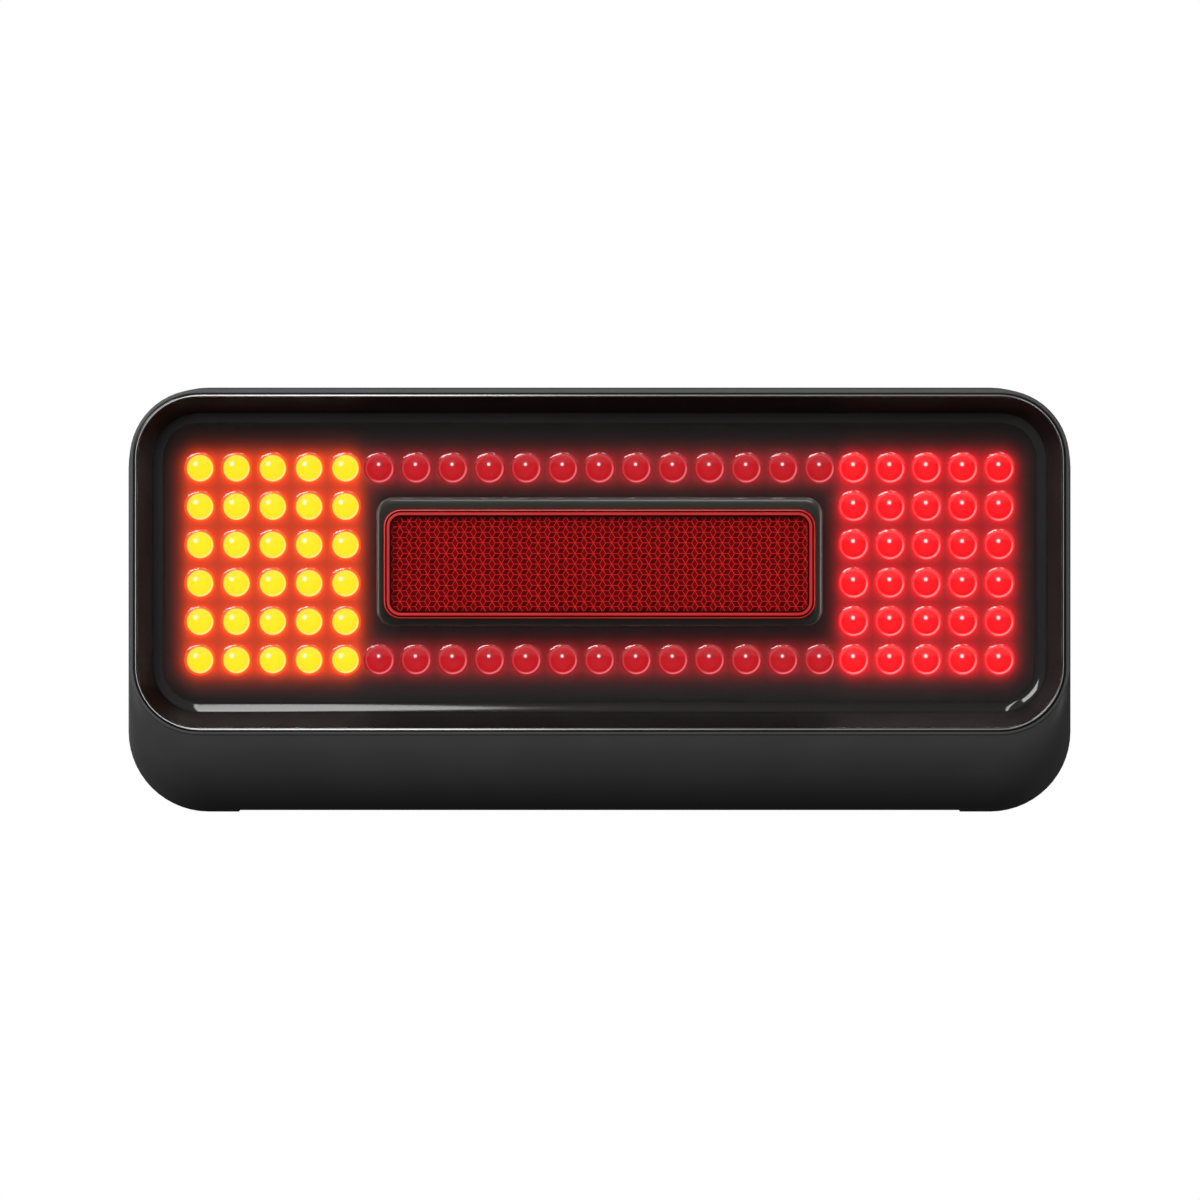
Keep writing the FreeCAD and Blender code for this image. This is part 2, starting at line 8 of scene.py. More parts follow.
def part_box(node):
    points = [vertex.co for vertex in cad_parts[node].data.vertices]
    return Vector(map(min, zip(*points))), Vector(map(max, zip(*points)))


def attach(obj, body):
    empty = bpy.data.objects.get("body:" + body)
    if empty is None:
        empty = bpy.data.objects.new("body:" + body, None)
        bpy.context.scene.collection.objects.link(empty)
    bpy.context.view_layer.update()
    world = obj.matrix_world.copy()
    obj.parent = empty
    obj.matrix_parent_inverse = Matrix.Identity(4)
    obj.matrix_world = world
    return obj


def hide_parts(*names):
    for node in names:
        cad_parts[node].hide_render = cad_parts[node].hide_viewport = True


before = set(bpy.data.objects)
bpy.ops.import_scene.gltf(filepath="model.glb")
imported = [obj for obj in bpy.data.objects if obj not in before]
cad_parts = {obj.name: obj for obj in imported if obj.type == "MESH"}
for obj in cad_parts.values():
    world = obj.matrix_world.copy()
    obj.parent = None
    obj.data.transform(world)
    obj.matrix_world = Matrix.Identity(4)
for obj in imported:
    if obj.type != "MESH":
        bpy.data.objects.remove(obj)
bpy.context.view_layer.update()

# LED combination tail light. Same frame as the CAD: the mounting face is y = 0, the light
# looks along -Y and +Z is up. "Depth" is always a distance in front of the mounting face.
# Shape sizes are in millimetres and become metres where a mesh is made.

MM = 0.001
LAMP = "lamp"


def low(node, axis):
    """Lowest coordinate of a CAD node, in mm."""
    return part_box(node)[0][axis] / MM


def high(node, axis):
    """Highest coordinate of a CAD node, in mm."""
    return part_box(node)[1][axis] / MM


# Housing
half_width = high("bezel_housing", 0)
half_height = high("bezel_housing", 2)
rim_depth = -low("bezel_housing", 1)
base_corner = 17.0
rim_corner = 14.6
draft = 0.6                  # each side leans in by this much from back to front
wall = 2.4
rim_round = 0.35
rim_steps = 6
edge_round = 0.3
edge_middle = 0.3            # how far round edge_round its middle ring stands, as a share
seat_floor = 2.5             # thickness of plastic behind the lens's seat
chin_start = 6.0             # depth where the chin begins to curve up
chin_height = 16.3
chin_turn = math.radians(78)
chin_steps = 18
chin_inner_steps = 6
foot_gap = 76.3              # half the length of the relief between the two feet
foot_height = 0.35
foot_blend = 0.2
pocket_inset = 2.0           # recess that takes the rear plate
pocket_depth = 4.0

# Lens
crest_depth = -low("outer_lens", 1)
lens_back = -high("outer_lens", 1)
lip = 0.8
lens_gap = 0.15
flange_thickness = 5.0
flange_back = crest_depth - flange_thickness
seat_width = 2.0
crest_round = 0.3
crest_width = 0.6
crest_steps = 8
mouth_round = 0.45           # rounding from the crest down into the dish
bead_back = crest_depth - 0.7
bead_overhang = 0.1          # closes the joint with the housing's rim
rim_edge = 0.12              # softened inner edge of the housing's rim
floor_depth = -high("reflector_tape", 1)
dish_slope = 0.625           # the dish's wall runs in by this much for each mm of depth
dish_tilt = math.degrees(math.atan2(1, dish_slope))
dish_fillet = 3.0
fillet_steps = 14
matt_bands = 4               # the fillet's steepest bands keep the wall's matt finish
dome_radius = 3.4
dome_height = 0.9
dome_segments = 32
dome_levels_at = (1.0, 0.98, 0.93, 0.85, 0.7, 0.55, 0.37, 0.18)   # shares of the edge's tilt
seal_depth = (-high("lens_seal", 1), -low("lens_seal", 1))
seal_inset = 1.2

corner_steps = 14

# LED grids
led_flange = 2.9             # radius of the collar at an LED's foot, which sets its node's box
columns, rows, tail_columns, tail_rows = 5, 6, 13, 2

chin_rise = chin_height / (1 - math.cos(chin_turn))
chin_run = (rim_depth - rim_round - chin_start) / math.sin(chin_turn)
chin_centre = chin_rise - half_height


# ---------- outlines and lofts

def inset(shape, amount):
    """An outline moved inwards. A shape is (half width, bottom, top, lower and upper corner)."""
    width, bottom, top, lower, upper = shape
    return (width - amount, bottom + amount, top - amount, lower - amount, upper - amount)


def outline(shape, extra=()):
    """Points of a rounded rectangle, with extra points at given x on its lower edge."""
    width, bottom, top, lower, upper = shape
    points = []
    for quarter, (side, up) in enumerate(((1, 1), (-1, 1), (-1, 0), (1, 0))):
        radius = upper if up else lower
        x = side * (width - radius)
        z = top - radius if up else bottom + radius
        if quarter == 3:
            points += [(place, bottom) for place in extra]
        for step in range(corner_steps + 1):
            angle = math.radians(90 * (quarter + step / corner_steps))
            points.append((x + radius * math.cos(angle), z + radius * math.sin(angle)))
    return points


def ring_points(shape, depth, extra=()):
    """Points of an outline at one depth, in metres."""
    return [Vector((x, -depth, z)) * MM for x, z in outline(shape, extra)]


def add_rings(bm, sections):
    """A ring of vertices for each (outline, depth)."""
    return [[bm.verts.new(point) for point in ring_points(shape, depth)]
            for shape, depth in sections]


def stepped_in(shape, profile):
    """(outline, depth) for each (inset, depth) of a profile."""
    return [(inset(shape, amount), depth) for amount, depth in profile]


def finished(name, bm, sharp_angle=25.0):
    """A smooth-shaded object made from the mesh being built."""
    bmesh.ops.recalc_face_normals(bm, faces=bm.faces)
    mesh = bpy.data.meshes.new(name)
    bm.to_mesh(mesh)
    bm.free()
    mesh.polygons.foreach_set("use_smooth", [True] * len(mesh.polygons))
    mesh.set_sharp_from_angle(angle=math.radians(sharp_angle))
    piece = bpy.data.objects.new(name, mesh)
    bpy.context.scene.collection.objects.link(piece)
    return piece


def in_fixed_order(bm):
    """The same mesh with its faces in one fixed order, which trimming doesn't keep."""
    bm.verts.index_update()
    faces = []
    for face in bm.faces:
        corners = [vert.index for vert in face.verts]
        first = corners.index(min(corners))
        faces.append((corners[first:] + corners[:first], face.material_index))
    ordered = bmesh.new()
    verts = [ordered.verts.new(vert.co) for vert in bm.verts]
    for corners, finish in sorted(faces):
        ordered.faces.new([verts[i] for i in corners]).material_index = finish
    bm.free()
    return ordered


def bridge(bm, rings, closed=False, finishes=()):
    """Quads from each ring of vertices to the next; finishes gives each band's material number."""
    pairs = list(zip(rings, rings[1:] + rings[:1] if closed else rings[1:]))
    for band, (near, far) in enumerate(pairs):
        count = len(near)
        for i in range(count):
            j = (i + 1) % count
            face = bm.faces.new((near[i], near[j], far[j], far[i]))
            face.material_index = finishes[band] if band < len(finishes) else 0


def arc(centre, radius, start, end, steps):
    """(inset, depth) points of an arc; angles in degrees from straight ahead."""
    points = []
    for step in range(steps + 1):
        angle = math.radians(start + (end - start) * step / steps)
        points.append((centre[0] - radius * math.sin(angle), centre[1] + radius * math.cos(angle)))
    return points


# ---------- housing

def body_frame(depth, bottom, lower_corner, drawn_in=0.0):
    """Outline of the body at one depth; drawn_in moves it inwards, for the inner face."""
    narrowed = draft * depth / rim_depth
    upper_corner = base_corner + (rim_corner - base_corner) * depth / rim_depth
    return (half_width - narrowed - drawn_in, bottom, half_height - narrowed - drawn_in,
            lower_corner - drawn_in, upper_corner - drawn_in)


def chin_section(turn, drawn_in=0.0):
    """Outline and depth at one angle round the chin, from the back of its curve to the front."""
    depth = chin_start + (chin_run - drawn_in) * math.sin(turn)
    bottom = chin_centre - (chin_rise - drawn_in) * math.cos(turn)
    raised = (1 - math.cos(turn)) / (1 - math.cos(chin_turn))
    corner = base_corner + (rim_corner - base_corner) * raised
    return body_frame(depth, bottom, corner, drawn_in), depth


rim_frame = chin_section(chin_turn)[0]
flange_frame = inset(rim_frame, lip + lens_gap)


def make_housing():
    """Hollow housing: a lofted body with a curved chin, two feet, and a seat for the lens."""
    base = body_frame(0, -half_height, base_corner)
    seat_inset = lip + seat_width
    profile = [(inset(base, pocket_inset), pocket_depth),
               (inset(base, pocket_inset), edge_round / 2),
               (inset(base, pocket_inset - edge_round / 2), 0.0)]
    profile += [(inset(base, edge_round), 0.0),
                (inset(base, edge_round * edge_middle), edge_round * edge_middle),
                (base, edge_round)]
    profile += [chin_section(chin_turn * step / chin_steps) for step in range(chin_steps + 1)]
    rim_start = rim_depth - rim_round
    profile += stepped_in(rim_frame, arc((rim_round, rim_start), rim_round, 90, 0, rim_steps)[1:])
    profile += [(inset(rim_frame, lip - rim_edge), rim_depth),
                (inset(rim_frame, lip), rim_depth - rim_edge),
                (inset(rim_frame, lip), flange_back), (inset(rim_frame, seat_inset), flange_back),
                (inset(rim_frame, seat_inset), flange_back - seat_width)]
    cavity = flange_back - seat_floor
    inner_turn = math.asin((cavity - chin_start) / (chin_run - wall))
    profile += [chin_section(inner_turn * step / chin_inner_steps, wall)
                for step in range(chin_inner_steps, -1, -1)]
    profile += [(body_frame(pocket_depth, wall - half_height, base_corner - wall, wall),
                 pocket_depth)]
    extra = (-foot_gap - foot_blend, -foot_gap, foot_gap, foot_gap + foot_blend)
    bm = bmesh.new()
    rings = []
    for shape, depth in profile:
        points = ring_points(shape, depth, extra)
        for point in points:
            if abs(point.x) < (foot_gap + foot_blend / 2) * MM:
                point.z = max(point.z, (foot_height - half_height) * MM)
        rings.append([bm.verts.new(point) for point in points])
    bridge(bm, rings, closed=True)
    return finished("housing_shell", bm)


# ---------- lens

def grid_of(node, across, up):
    """First LED centre and pitch of a node's grid, as (x, z, pitch_x, pitch_z), in mm."""
    x0, x1 = low(node, 0) + led_flange, high(node, 0) - led_flange
    z0, z1 = low(node, 2) + led_flange, high(node, 2) - led_flange
    return (x0, z0, (x1 - x0) / (across - 1), (z1 - z0) / (up - 1))


led_grids = {
    "indicator_leds": (grid_of("indicator_leds", columns, rows), columns, rows),
    "tail_leds": (grid_of("tail_leds", tail_columns, tail_rows), tail_columns, tail_rows),
    "stop_leds": (grid_of("stop_leds", columns, rows), columns, rows),
}


def led_centres():
    """(x, z) of every LED, in mm."""
    centres = []
    for (x0, z0, pitch_x, pitch_z), across, up in led_grids.values():
        centres += [(x0 + pitch_x * i, z0 + pitch_z * j)
                    for j in range(up) for i in range(across)]
    return centres


def bead_profile():
    """(inset, depth) points over the rounded bead at the lens's edge."""
    reach = mouth_round * math.tan(math.radians(dish_tilt / 2))
    points = arc((crest_round - bead_overhang, crest_depth - crest_round), crest_round, 90, 0,
                 crest_steps)
    centre = crest_width - reach
    for step in range(crest_steps + 1):
        angle = math.radians(dish_tilt * step / crest_steps)
        points.append((centre + mouth_round * math.sin(angle),
                       crest_depth - mouth_round * (1 - math.cos(angle))))
    return points


def fillet_profile():
    """(inset, depth) points of the fillet between the dish's wall and its floor."""
    foot = crest_width + dish_slope * (crest_depth - floor_depth)
    centre = foot + dish_fillet * math.tan(math.radians(dish_tilt / 2))
    points = []
    for step in range(fillet_steps + 1):
        angle = math.radians(dish_tilt * (1 - step / fillet_steps))
        points.append((centre - dish_fillet * math.sin(angle),
                       floor_depth + dish_fillet * (1 - math.cos(angle))))
    return points


def make_lens_bead():
    """Rounded bead round the mouth of the lens."""
    profile = [(-bead_overhang, bead_back)] + bead_profile()
    bm = bmesh.new()
    bridge(bm, add_rings(bm, stepped_in(flange_frame, profile)), closed=True)
    return finished("lens_bead", bm, sharp_angle=20.0)


def make_lens_rim():
    """Dark moulded border of the lens: its flange, the dish's wall and the polished fillet."""
    fillet = fillet_profile()
    profile = [(fillet[-1][0], lens_back), (seat_width, lens_back), (seat_width, seal_depth[0]),
               (seat_width + seal_inset, seal_depth[0]), (seat_width + seal_inset, seal_depth[1]),
               (seat_width, seal_depth[1]), (seat_width, flange_back), (0.0, flange_back),
               (0.0, bead_back), bead_profile()[-1]]
    # The polished fillet's faces also take a paler colour, painted light.
    matt, polished = 0, 1
    finishes = [matt] * (len(profile) + matt_bands)
    finishes += [polished] * (fillet_steps - matt_bands)
    bm = bmesh.new()
    rings = add_rings(bm, stepped_in(flange_frame, profile + fillet))
    bridge(bm, rings, closed=True, finishes=finishes)
    return finished("lens_rim", bm, sharp_angle=20.0)


def dome_levels(x, z):
    """Rings of points on the dome over one LED, from its foot upwards, in metres."""
    sphere = (dome_radius ** 2 + dome_height ** 2) / (2 * dome_height)
    last = math.asin(dome_radius / sphere)
    levels = []
    for share in dome_levels_at:
        tilt = last * share
        radius = sphere * math.sin(tilt)
        depth = floor_depth + dome_height - sphere * (1 - math.cos(tilt))
        turns = [2 * math.pi * k / dome_segments for k in range(dome_segments)]
        levels.append([Vector((x + radius * math.cos(a), -depth, z + radius * math.sin(a))) * MM
                       for a in turns])
    return levels


def make_lens_window():
    """Clear floor of the dish, with a dome over each LED."""
    shape = inset(flange_frame, fillet_profile()[-1][0])
    bm = bmesh.new()
    rings = add_rings(bm, [(shape, lens_back), (shape, floor_depth)])
    bridge(bm, rings)
    bm.faces.new(rings[0])
    borders = [rings[-1]]
    for x, z in led_centres():
        levels = [[bm.verts.new(p) for p in level] for level in dome_levels(x, z)]
        bridge(bm, levels)
        top = bm.verts.new(Vector((x, -floor_depth - dome_height, z)) * MM)
        for k in range(dome_segments):
            bm.faces.new((levels[-1][k], levels[-1][(k + 1) % dome_segments], top))
        borders.append(levels[0])
    edges = []
    for border in borders:
        for i, vert in enumerate(border):
            following = border[(i + 1) % len(border)]
            edges.append(bm.edges.get((vert, following)) or bm.edges.new((vert, following)))
    bmesh.ops.triangle_fill(bm, use_beauty=True, use_dissolve=False, edges=edges,
                            normal=(0, -1, 0))
    return finished("lens_window", bm, sharp_angle=18.0)


# ---------- reflector

reflector_rise = 0.4         # the cover's upper edge stands above its seat
reflector_round = 0.2
reflector_corner = 3.6
cover_thickness = 1.15
lip_drop = 0.1               # drops are behind the raised bead, the cover's foremost part
groove_drop = 0.45
field_drop = 0.15
cover_sections = (           # distance in from the cover's edge, and level
    (0.3, "lip"), (0.36, "groove"), (0.55, "groove"), (0.6, "field"), (0.7, "bead"),
    (1.15, "bead"), (1.25, "field"), (1.3, "groove"), (1.5, "groove"), (1.58, "field"),
    (1.7, "field"))
holder_rise = 0.3
holder_bevel_side = 0.9
holder_bevel_top = 1.7
holder_bevel_depth = 1.6
holder_bevel_steps = 8
holder_pocket = 2.2
pocket_clearance = 0.1
prism_inset = 1.6
prism_setback = 1.2          # ridges of the prisms behind the cover's bead
prism_pitch = 2.25           # across the flats of one hexagonal cell
prism_height = 0.9
ridge_width = 0.09
prism_trims = 16             # planes that trim the prisms to the cover's outline


def reflector_shape():
    """Outline of the reflector's cover."""
    lo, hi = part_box("reflex_reflector")
    return (hi.x / MM, lo.z / MM, hi.z / MM + reflector_rise, reflector_corner, reflector_corner)


def make_reflector_cover():
    """Clear red front: a lip at its edge, a raised bead between two grooves, and a flat field."""
    shape = reflector_shape()
    front = -low("reflex_reflector", 1)
    levels = {"lip": front - lip_drop, "groove": front - groove_drop,
              "field": front - field_drop, "bead": front}
    edge_steps = 6
    profile = [(0.0, front - cover_thickness)]
    profile += arc((reflector_round, levels["lip"] - reflector_round), reflector_round, 90, 0,
                   edge_steps)
    profile += [(amount, levels[level]) for amount, level in cover_sections]
    bm = bmesh.new()
    rings = add_rings(bm, stepped_in(shape, profile))
    # The bead's faces get a bright opaque red, painted light, and the grooves' faces a dark red,
    # painted shade.
    bead, groove = 1, 2
    bridge(bm, rings, finishes=[bead] * (edge_steps + 2) + [groove] * 3 + [bead] * 3 + [groove] * 3)
    bm.faces.new(rings[0])
    bm.faces.new(rings[-1])
    return finished("reflector_cover", bm, sharp_angle=35.0)


def make_holder():
    """Tray round the reflector, with a rounded bevel that is widest along its top."""
    lo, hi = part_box("reflector_holder")
    outer = (hi.x / MM, lo.z / MM, hi.z / MM + holder_rise, reflector_corner, reflector_corner)
    back, front = -hi.y / MM, -lo.y / MM
    pocket = inset(reflector_shape(), -pocket_clearance)
    sections = [(outer, back), (outer, front - holder_bevel_depth)]
    width, bottom, top, _, _ = outer
    for step in range(1, holder_bevel_steps + 1):
        turn = math.radians(90 * step / holder_bevel_steps)
        across, ahead = 1 - math.cos(turn), math.sin(turn)
        corner = reflector_corner - holder_bevel_side * across
        sections.append(((width - holder_bevel_side * across, bottom + holder_bevel_side * across,
                          top - holder_bevel_top * across, corner, corner),
                         front - holder_bevel_depth * (1 - ahead)))
    sections += [(pocket, front), (pocket, front - holder_pocket)]
    bm = bmesh.new()
    rings = add_rings(bm, sections)
    bridge(bm, rings)
    bm.faces.new(rings[0])
    bm.faces.new(rings[-1])
    return finished("reflector_tray", bm, sharp_angle=30.0)


def make_reflector_prisms():
    """Hexagonal corner-cube cells behind the cover, with fine ridges between their facets in a
    paler red, a painted highlight.
    """
    width, bottom, top, corner, _ = inset(reflector_shape(), prism_inset)
    front = -low("reflex_reflector", 1) - prism_setback
    side = prism_pitch / math.sqrt(3)
    step_x = side * 1.5
    bm = bmesh.new()
    made = {}

    def vertex(x, z, level):
        """The vertex at a place, made once: level 0 is a cell's apex, 1 and 2 its corners."""
        key = (round(x, 3), round(z, 3))
        if key not in made:
            depth = front - prism_height * (1 - level / 2)
            made[key] = bm.verts.new(Vector((x, -depth, z)) * MM)
        return made[key]

    across = int(width / step_x) + 2
    middle = (bottom + top) / 2
    up = int((top - bottom) / prism_pitch / 2) + 2
    for i in range(-across, across + 1):
        for j in range(-up, up + 1):
            x = i * step_x
            z = middle + (j + (i % 2) / 2) * prism_pitch
            apex = vertex(x, z, 0)
            corners = [vertex(x + side * math.cos(math.radians(60 * k)),
                              z + side * math.sin(math.radians(60 * k)), 2 - k % 2)
                       for k in range(6)]
            for k in (1, 3, 5):
                bm.faces.new((apex, corners[k], corners[(k + 1) % 6], corners[(k + 2) % 6]))
    # The ridge faces take the paler red, a painted highlight.
    ridge_highlight_finish = 1
    bmesh.ops.bevel(bm, geom=list(bm.edges), offset=ridge_width * MM, segments=1,
                    affect="EDGES", material=ridge_highlight_finish)
    for turn in range(prism_trims):
        angle = math.radians(360 / prism_trims * turn)
        normal = Vector((math.cos(angle), 0, math.sin(angle)))
        reach_x, reach_z = width - corner, (top - bottom) / 2 - corner
        x = math.copysign(reach_x, normal.x) if abs(normal.x) > 0.01 else 0
        z = math.copysign(reach_z, normal.z) if abs(normal.z) > 0.01 else 0
        centre = Vector((x, 0, middle + z))
        place = (centre + normal * corner) * MM
        bmesh.ops.bisect_plane(bm, geom=bm.verts[:] + bm.edges[:] + bm.faces[:],
                               plane_co=place, plane_no=normal, clear_outer=True)
    return finished("reflector_prisms", in_fixed_order(bm), sharp_angle=5.0)


# ---------- studs

thread_pitch = 0.8
thread_root = 2.06
thread_crest = 2.44
thread_sharpness = 2.4       # more makes the thread's crests narrower
rings_per_pitch = 8
shank_radius = 2.5
shank_length = 3.0
runout = 0.3                 # where the plain shank meets the thread
shoulder_radius = 3.0
head_flats = 8.0
tip_bevel = 0.6              # length of the bevel at the tip
tip_taper = 0.55             # how much it takes off the radius
tip_start = 0.4              # the bevel starts this far outside the root
tip_radius = 1.66
bar_segments = 36


def make_stud(node, name):
    """M5 stud: hexagonal head, shoulder, plain shank and a rolled thread with a bevelled tip."""
    middle_x = (low(node, 0) + high(node, 0)) / 2
    head_front, tip = low(node, 1), high(node, 1)
    head_back = -pocket_depth
    sections = [(head_back, 0.0, False), (head_back, shoulder_radius, False),
                (0.0, shoulder_radius, False), (0.0, shank_radius, False),
                (shank_length - runout, shank_radius, False)]
    count = int((tip - shank_length) / thread_pitch * rings_per_pitch)
    for step in range(count):
        y = shank_length + (tip - shank_length) * step / count
        full = min(1.0, (tip - y) / tip_bevel)
        sections.append((y, thread_root + tip_start - (1 - full) * tip_taper, True))
    sections += [(tip, tip_radius, False), (tip, 0.0, False)]
    bm = bmesh.new()
    rings = []
    for y, limit, threaded in sections:
        ring = []
        for k in range(bar_segments):
            angle = 2 * math.pi * k / bar_segments
            phase = (y / thread_pitch - k / bar_segments) % 1.0
            rise = max(0.0, 1 - abs(phase - 0.5) * thread_sharpness)
            radius = limit
            if threaded:
                radius = min(thread_root + (thread_crest - thread_root) * rise, limit)
            ring.append(bm.verts.new(Vector((middle_x + radius * math.cos(angle), y,
                                             radius * math.sin(angle))) * MM))
        rings.append(ring)
    bridge(bm, rings)
    corner = head_flats / math.sqrt(3)
    near, far = [[bm.verts.new(Vector((middle_x + corner * math.cos(math.radians(60 * k)), y,
                                       corner * math.sin(math.radians(60 * k)))) * MM)
                  for k in range(6)] for y in (head_front, head_back)]
    bridge(bm, [near, far])
    bm.faces.new(near)
    bm.faces.new(far)
    bmesh.ops.remove_doubles(bm, verts=bm.verts, dist=1e-7)
    return finished(name, bm, sharp_angle=40.0)


# ---------- node groups

def new_group(name, inputs, outputs):
    """An empty shader node group with float or colour sockets."""
    tree = bpy.data.node_groups.new(name, "ShaderNodeTree")
    for socket, value in inputs:
        kind = "NodeSocketColor" if isinstance(value, tuple) else "NodeSocketFloat"
        item = tree.interface.new_socket(socket, in_out="INPUT", socket_type=kind)
        item.default_value = value
    for socket, kind in outputs:
        tree.interface.new_socket(socket, in_out="OUTPUT", socket_type=kind)
    tree.nodes.new("NodeGroupInput")
    tree.nodes.new("NodeGroupOutput")
    return tree


def group_ends(tree):
    """A group's input node and output node."""
    start = next(n for n in tree.nodes if n.bl_idname == "NodeGroupInput")
    end = next(n for n in tree.nodes if n.bl_idname == "NodeGroupOutput")
    return start, end


def feed(tree, socket, value):
    """Links a socket, or sets its own value from a number or a colour."""
    if isinstance(value, bpy.types.NodeSocket):
        tree.links.new(value, socket)
    else:
        socket.default_value = value


def calc(tree, operation, *values, clamp=False):
    """Output of a math node fed with sockets or numbers."""
    node = tree.nodes.new("ShaderNodeMath")
    node.operation = operation
    node.use_clamp = clamp
    for socket, value in zip(node.inputs, values):
        feed(tree, socket, value)
    return node.outputs[0]


def blend_colour(tree, factor, first, second, mode="MIX"):
    """Output of a colour mix."""
    node = tree.nodes.new("ShaderNodeMix")
    node.data_type = "RGBA"
    node.blend_type = mode
    feed(tree, node.inputs["Factor"], factor)
    feed(tree, node.inputs["A"], first)
    feed(tree, node.inputs["B"], second)
    return node.outputs["Result"]


def length_of(tree, first, second):
    """Straight distance of two offsets at right angles."""
    squares = [calc(tree, "MULTIPLY", part, part) for part in (first, second)]
    return calc(tree, "SQRT", calc(tree, "ADD", *squares))


def smooth_step(tree, value, start, end, first=0.0, last=1.0):
    """Smooth change from first to last while the value goes from start to end."""
    node = tree.nodes.new("ShaderNodeMapRange")
    node.interpolation_type = "SMOOTHSTEP"
    for socket, number in zip(node.inputs, (value, start, end, first, last)):
        feed(tree, socket, number)
    return node.outputs[0]


def place(tree):
    """Object coordinates."""
    return tree.nodes.new("ShaderNodeTexCoord").outputs["Object"]


def noise(tree, scale, detail=3.0):
    """Noise over the piece, from 0 to 1."""
    node = tree.nodes.new("ShaderNodeTexNoise")
    node.inputs["Detail"].default_value = detail
    tree.links.new(place(tree), node.inputs["Vector"])
    feed(tree, node.inputs["Scale"], scale)
    return node.outputs["Fac"]


def build_grain_group():
    """Fine moulded texture: a height for bump, and a slow variation for colour and gloss."""
    tree = new_group("moulded_grain", [("Scale", 4000.0), ("Patch Scale", 60.0)],
                     [("Height", "NodeSocketFloat"), ("Variation", "NodeSocketFloat")])
    start, end = group_ends(tree)
    fine = noise(tree, start.outputs["Scale"], 2.0)
    patch = noise(tree, start.outputs["Patch Scale"], 4.0)
    tree.links.new(fine, end.inputs["Height"])
    tree.links.new(patch, end.inputs["Variation"])
    return tree


def build_dust_group():
    """Dust that settles on faces that look up, broken up by noise."""
    tree = new_group("settled_dust", [("Amount", 0.2), ("Scale", 180.0)],
                     [("Mask", "NodeSocketFloat")])
    start, end = group_ends(tree)
    geometry = tree.nodes.new("ShaderNodeNewGeometry")
    split = tree.nodes.new("ShaderNodeSeparateXYZ")
    tree.links.new(geometry.outputs["Normal"], split.inputs[0])
    facing = calc(tree, "MULTIPLY_ADD", split.outputs["Z"], 0.7, 0.3, clamp=True)
    speckle = smooth_step(tree, noise(tree, start.outputs["Scale"], 6.0), 0.45, 0.75)
    mask = calc(tree, "MULTIPLY", facing, speckle)
    mask = calc(tree, "MULTIPLY", mask, start.outputs["Amount"], clamp=True)
    tree.links.new(mask, end.inputs["Mask"])
    return tree


def build_wear_and_sheen_group():
    """Mask along the piece's outer edges, broken up by noise, for wear and a painted sheen."""
    tree = new_group("edge_wear_and_sheen", [("Radius", 0.0003), ("Amount", 0.5)],
                     [("Mask", "NodeSocketFloat")])
    start, end = group_ends(tree)
    bevel = tree.nodes.new("ShaderNodeBevel")
    bevel.samples = 4
    tree.links.new(start.outputs["Radius"], bevel.inputs["Radius"])
    geometry = tree.nodes.new("ShaderNodeNewGeometry")
    dot = tree.nodes.new("ShaderNodeVectorMath")
    dot.operation = "DOT_PRODUCT"
    tree.links.new(bevel.outputs[0], dot.inputs[0])
    tree.links.new(geometry.outputs["Normal"], dot.inputs[1])
    edge = smooth_step(tree, dot.outputs["Value"], 0.99, 0.80)
    broken = smooth_step(tree, noise(tree, 900.0, 5.0), 0.35, 0.6)
    mask = calc(tree, "MULTIPLY", edge, broken)
    mask = calc(tree, "MULTIPLY", mask, start.outputs["Amount"], clamp=True)
    tree.links.new(mask, end.inputs["Mask"])
    return tree


def build_led_grid_group():
    """Distances on a grid of LEDs, in mm: sideways and upwards from the nearest LED's centre,
    straight to it, and outwards from the rectangle of LED centres."""
    tree = new_group("led_grid", [("First X", 0.0), ("First Z", 0.0), ("Pitch X", 7.7),
                                  ("Pitch Z", 8.1), ("Last X", 4.0), ("Last Z", 5.0)],
                     [(n, "NodeSocketFloat") for n in ("Across", "Up", "Nearest", "Outside")])
    start, end = group_ends(tree)
    split = tree.nodes.new("ShaderNodeSeparateXYZ")
    tree.links.new(place(tree), split.inputs[0])
    offsets, beyond = [], []
    for axis in ("X", "Z"):
        along = calc(tree, "SUBTRACT", calc(tree, "MULTIPLY", split.outputs[axis], 1 / MM),
                     start.outputs["First " + axis])
        index = calc(tree, "ROUND", calc(tree, "DIVIDE", along, start.outputs["Pitch " + axis]))
        index = calc(tree, "MINIMUM", calc(tree, "MAXIMUM", index, 0.0),
                     start.outputs["Last " + axis])
        offsets.append(calc(tree, "SUBTRACT", along,
                            calc(tree, "MULTIPLY", index, start.outputs["Pitch " + axis])))
        span = calc(tree, "MULTIPLY", start.outputs["Pitch " + axis],
                    start.outputs["Last " + axis])
        past = calc(tree, "MAXIMUM", calc(tree, "MULTIPLY", along, -1.0),
                    calc(tree, "SUBTRACT", along, span))
        beyond.append(calc(tree, "MAXIMUM", past, 0.0))
    for pair, socket in ((offsets, "Nearest"), (beyond, "Outside")):
        tree.links.new(length_of(tree, *pair), end.inputs[socket])
    tree.links.new(offsets[0], end.inputs["Across"])
    tree.links.new(offsets[1], end.inputs["Up"])
    return tree


